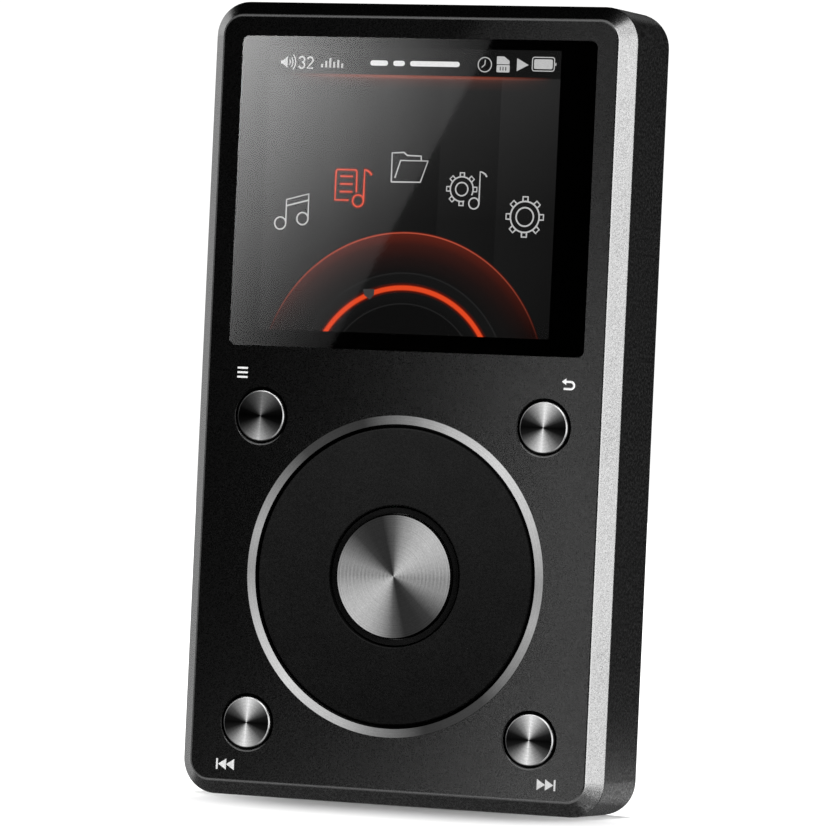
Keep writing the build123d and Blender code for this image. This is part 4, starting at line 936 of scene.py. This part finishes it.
CARD_GAP = 0.02              # from the window to the card, in metres
CARD_GLOW = 9.0
CARD_FOOT, CARD_TOP = 0.290, 0.706   # where its slanting edge crosses the window, as parts of the width
CARD_OVER = 0.3              # how far it reaches past the window, as a part of the window's size


def reflection_card(glass):
    """The bright sheet that the window mirrors on its left side, ending in a slanting edge.

    It stands in front of the window, out of the camera's sight, where the camera's mirror image in the glass
    sees it through the left part of the window. It fades to the right and downward."""
    mirror = Vector((EYE.x, 2 * WINDOW_LOW.y - EYE.y, EYE.z))
    reach = CARD_GAP / (mirror.y - WINDOW_LOW.y)

    def on_card(x, z):
        p = Vector((x, WINDOW_LOW.y, z))
        return p + (p - mirror) * reach

    wide = WINDOW_HIGH.x - WINDOW_LOW.x
    tall = WINDOW_HIGH.z - WINDOW_LOW.z
    top_x, bottom_x = WINDOW_LOW.x + CARD_TOP * wide, WINDOW_LOW.x + CARD_FOOT * wide
    over = CARD_OVER * tall
    aside = (top_x - bottom_x) / tall * over
    left = WINDOW_LOW.x - CARD_OVER * wide
    low, high = WINDOW_LOW.z - over, WINDOW_HIGH.z + over
    bm = bmesh.new()
    bm.faces.new([bm.verts.new(on_card(x, z)) for x, z in (
        (left, low), (bottom_x - aside, low), (top_x + aside, high), (left, high))])
    card = finished(bm, "reflection_card")
    bpy.context.collection.objects.link(card)
    card.data.materials.append(card_light(on_card(WINDOW_LOW.x, WINDOW_LOW.z),
                                          on_card(WINDOW_HIGH.x, WINDOW_HIGH.z)))
    card.visible_camera = False
    card.visible_shadow = False
    card.visible_diffuse = False
    card.visible_volume_scatter = False
    card.visible_transmission = False
    receivers(card, [glass])
    card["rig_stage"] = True


def card_light(low, high):
    """The card's light, brightest at the window's upper left; low and high are the window on the card."""
    m = Shader("card_light", "Emission", Color=grey(1.0))
    x, _, z = m.axes()
    across = m.spread(x, 0.0, 1.0, low.x, high.x)
    down = m.math("SUBTRACT", 1.0, m.spread(z, 0.0, 1.0, low.z, high.z))
    fall_across = m.math("MULTIPLY", across, m.math("ADD", 2.0, m.math("MULTIPLY", across, 3.6)))
    fall_down = m.math("MULTIPLY", down, m.math("ADD", 1.15, m.math("MULTIPLY", down, 0.55)))
    both = m.math("MULTIPLY", m.math("MULTIPLY", across, down),
                  m.math("SUBTRACT", m.math("MULTIPLY", down, 7.0), 3.0))
    fall = m.math("ADD", m.math("ADD", fall_across, fall_down), both)
    m.set(Strength=m.math("MULTIPLY", CARD_GLOW, m.math("EXPONENT", m.math("MULTIPLY", fall, -1.0))))
    return m.material


def casing_lights(housing):
    """Lights for the casing alone, each for an edge, a corner, a wall or a part of the front."""
    for name, place, aim, size, radiance in (
            ("top_edge_light", towards((-0.397, -0.663, 0.80), 0.6), TARGET, (0.4, 0.12), 2.2),
            ("bottom_edge_light", towards((-0.397, -0.656, -0.65), 0.6), TARGET, (0.4, 0.12), 2.5),
            ("under_light", (0, 0, -0.30), TARGET, (1.6, 1.6), 0.27),
            ("bevel_top_light", towards(mirrored((0.60, -0.70, 0.37)), 0.6), TARGET, (0.3, 0.34), 12.0),
            ("right_edge_light", towards((0.93, 0.36, 0.0), 0.6), TARGET, (0.08, 0.6), 10.0),
            ("upper_wall_light", towards((-0.15, 0.85, 0.62), 0.6), TARGET, (0.24, 0.24), 0.32),
            ("bevel_end_light", towards(mirrored((0.66, -0.68, -0.29)), 0.5), TARGET, (0.14, 0.14), 6.0),
            ("lower_corner_light", towards(mirrored((0.54, -0.68, -0.46)), 0.5), TARGET, (0.4, 0.4), 1.3),
            ("upper_corner_light", towards(mirrored((-0.58, -0.68, 0.44)), 0.5), TARGET, (0.2, 0.2), 0.9),
            ("panel_light", (-0.018, -0.12, 0.0025), (-0.008, 0, 0.0025), (0.015, 0.145), 2.5),
            ("upper_panel_light", (-0.018, -0.12, 0.105), (-0.008, 0, 0.105), (0.015, 0.060), 1.15),
            ("lower_panel_light", (-0.045, -0.12, -0.02), (-0.03, 0, -0.02), (0.06, 0.04), 0.42),
            ("side_light", towards((0.397, 0.918, 0.02), 0.8), TARGET, (0.6, 0.8), 0.05),
            ("side_low_light", (0.075, 0.10, -0.02), (0.04, 0, -0.01), (0.10, 0.04), 0.7)):
        softbox(name, place, aim, size, radiance, housing)


def key_lights(keys):
    """Lights for the keys' polished rims: white from the top to the right, greyer on the left and below."""
    for angle, radiance in ((90, 2.6), (45, 2.2), (0, 1.7), (-45, 0.8), (135, 1.1), (180, 0.7), (225, 0.6)):
        c, s = math.cos(math.radians(angle)), math.sin(math.radians(angle))
        rim_normal = (c, -1.9 if c < -0.5 else -1.0, s)
        place = towards(mirrored(rim_normal), 0.5)
        softbox("key_light_%d" % angle, place, TARGET, (0.36, 0.36), radiance, keys)


def floor_lights(ground):
    """A broad light that casts the soft shadow, and two small low ones that thin it at the player's ends."""
    for side, x, y, radiance in (("left", CAD_LOW.x - 1.5 * MM, CAD_LOW.y, 5.0),
                                 ("right", CAD_HIGH.x + 1.0 * MM, 0.0, 2.2)):
        above = (x, y, CAD_LOW.z + 12 * MM)
        filler = softbox(side + "_floor_light", above, (x, y, CAD_LOW.z), (0.01, 0.012), radiance, ground)
        # only the floor can block this light, so the player casts no shadow from it
        filler.light_linking.blocker_collection = group(side + "_floor_light_blockers", ground)
    sun = bpy.data.lights.new("floor_light", "SUN")
    sun.energy, sun.angle = 4.4, math.radians(24)
    lamp = bpy.data.objects.new("floor_light", sun)
    lamp.rotation_euler = (math.radians(-14), math.radians(-5.5), 0)
    bpy.context.collection.objects.link(lamp)
    receivers(lamp, ground)


def lights():
    """A soft studio. Most lights reach only the pieces whose shine they make."""
    group("player_pieces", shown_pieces())
    spun = [NODES[n] for n in SPUN]
    wheel = [NODES["scroll_wheel"]]
    display_parts = [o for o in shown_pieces() if o.get("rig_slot") == "lcd_glass"]
    display_parts += [NODES["display_window"], NODES["lcd_panel"]]
    others = [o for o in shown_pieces() if o not in spun + wheel + display_parts]
    softbox("right_softbox", towards((0.948, -0.300, 0.06), 0.6), TARGET, (0.26, 0.50), 13.4, others)
    softbox("left_softbox", towards((-0.872, 0.488, 0.05), 0.6), TARGET, (0.30, 0.7), 1.15, others)
    casing_lights([NODES[n] for n in HOUSING])
    softbox("wheel_light", (-0.01, -0.08, 0.10), WHEEL_CENTRE, (0.06, 0.02), 14.0, wheel)
    softbox("spun_light", towards((-0.397, -0.918, 0.01), 0.8), TARGET, (1.2, 1.2), 1.13, spun)
    key_lights([NODES[n] for n in KEYS])
    behind = [o for o in others if o != NODES["front_housing"]]
    softbox("rear_softbox", towards((0.5, 0.85, 0.35), 0.8), TARGET, (0.8, 0.8), 1.5, behind)
    floor_lights([bpy.data.objects["floor"]])


# ---------------------------------------------------------------- putting it together

make_camera()
dress_slot("casing_metal", blasted_aluminium())
dress_insides()
dress(rubbery_plastic(), "scroll_wheel")
dress(window_glass(), "display_window")
dress(spun_metal("spun_ring", WHEEL_CENTRE, RING_HIGHLIGHT_FAN, 9000.0), "wheel_trim_ring")
dress(spun_metal("spun_centre", WHEEL_CENTRE, CENTRE_HIGHLIGHT_FAN, 7000.0, arcs=0.16), "centre_button")
for key in KEYS:
    low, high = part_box(key)
    dress(spun_metal("spun_" + key, (low + high) / 2, KEY_HIGHLIGHT_FAN, 9000.0, rim=KEY_RIM), key)
display()
window_frame()
casing_signs()
floor()
world()
lights()
reflection_card(NODES["display_window"])
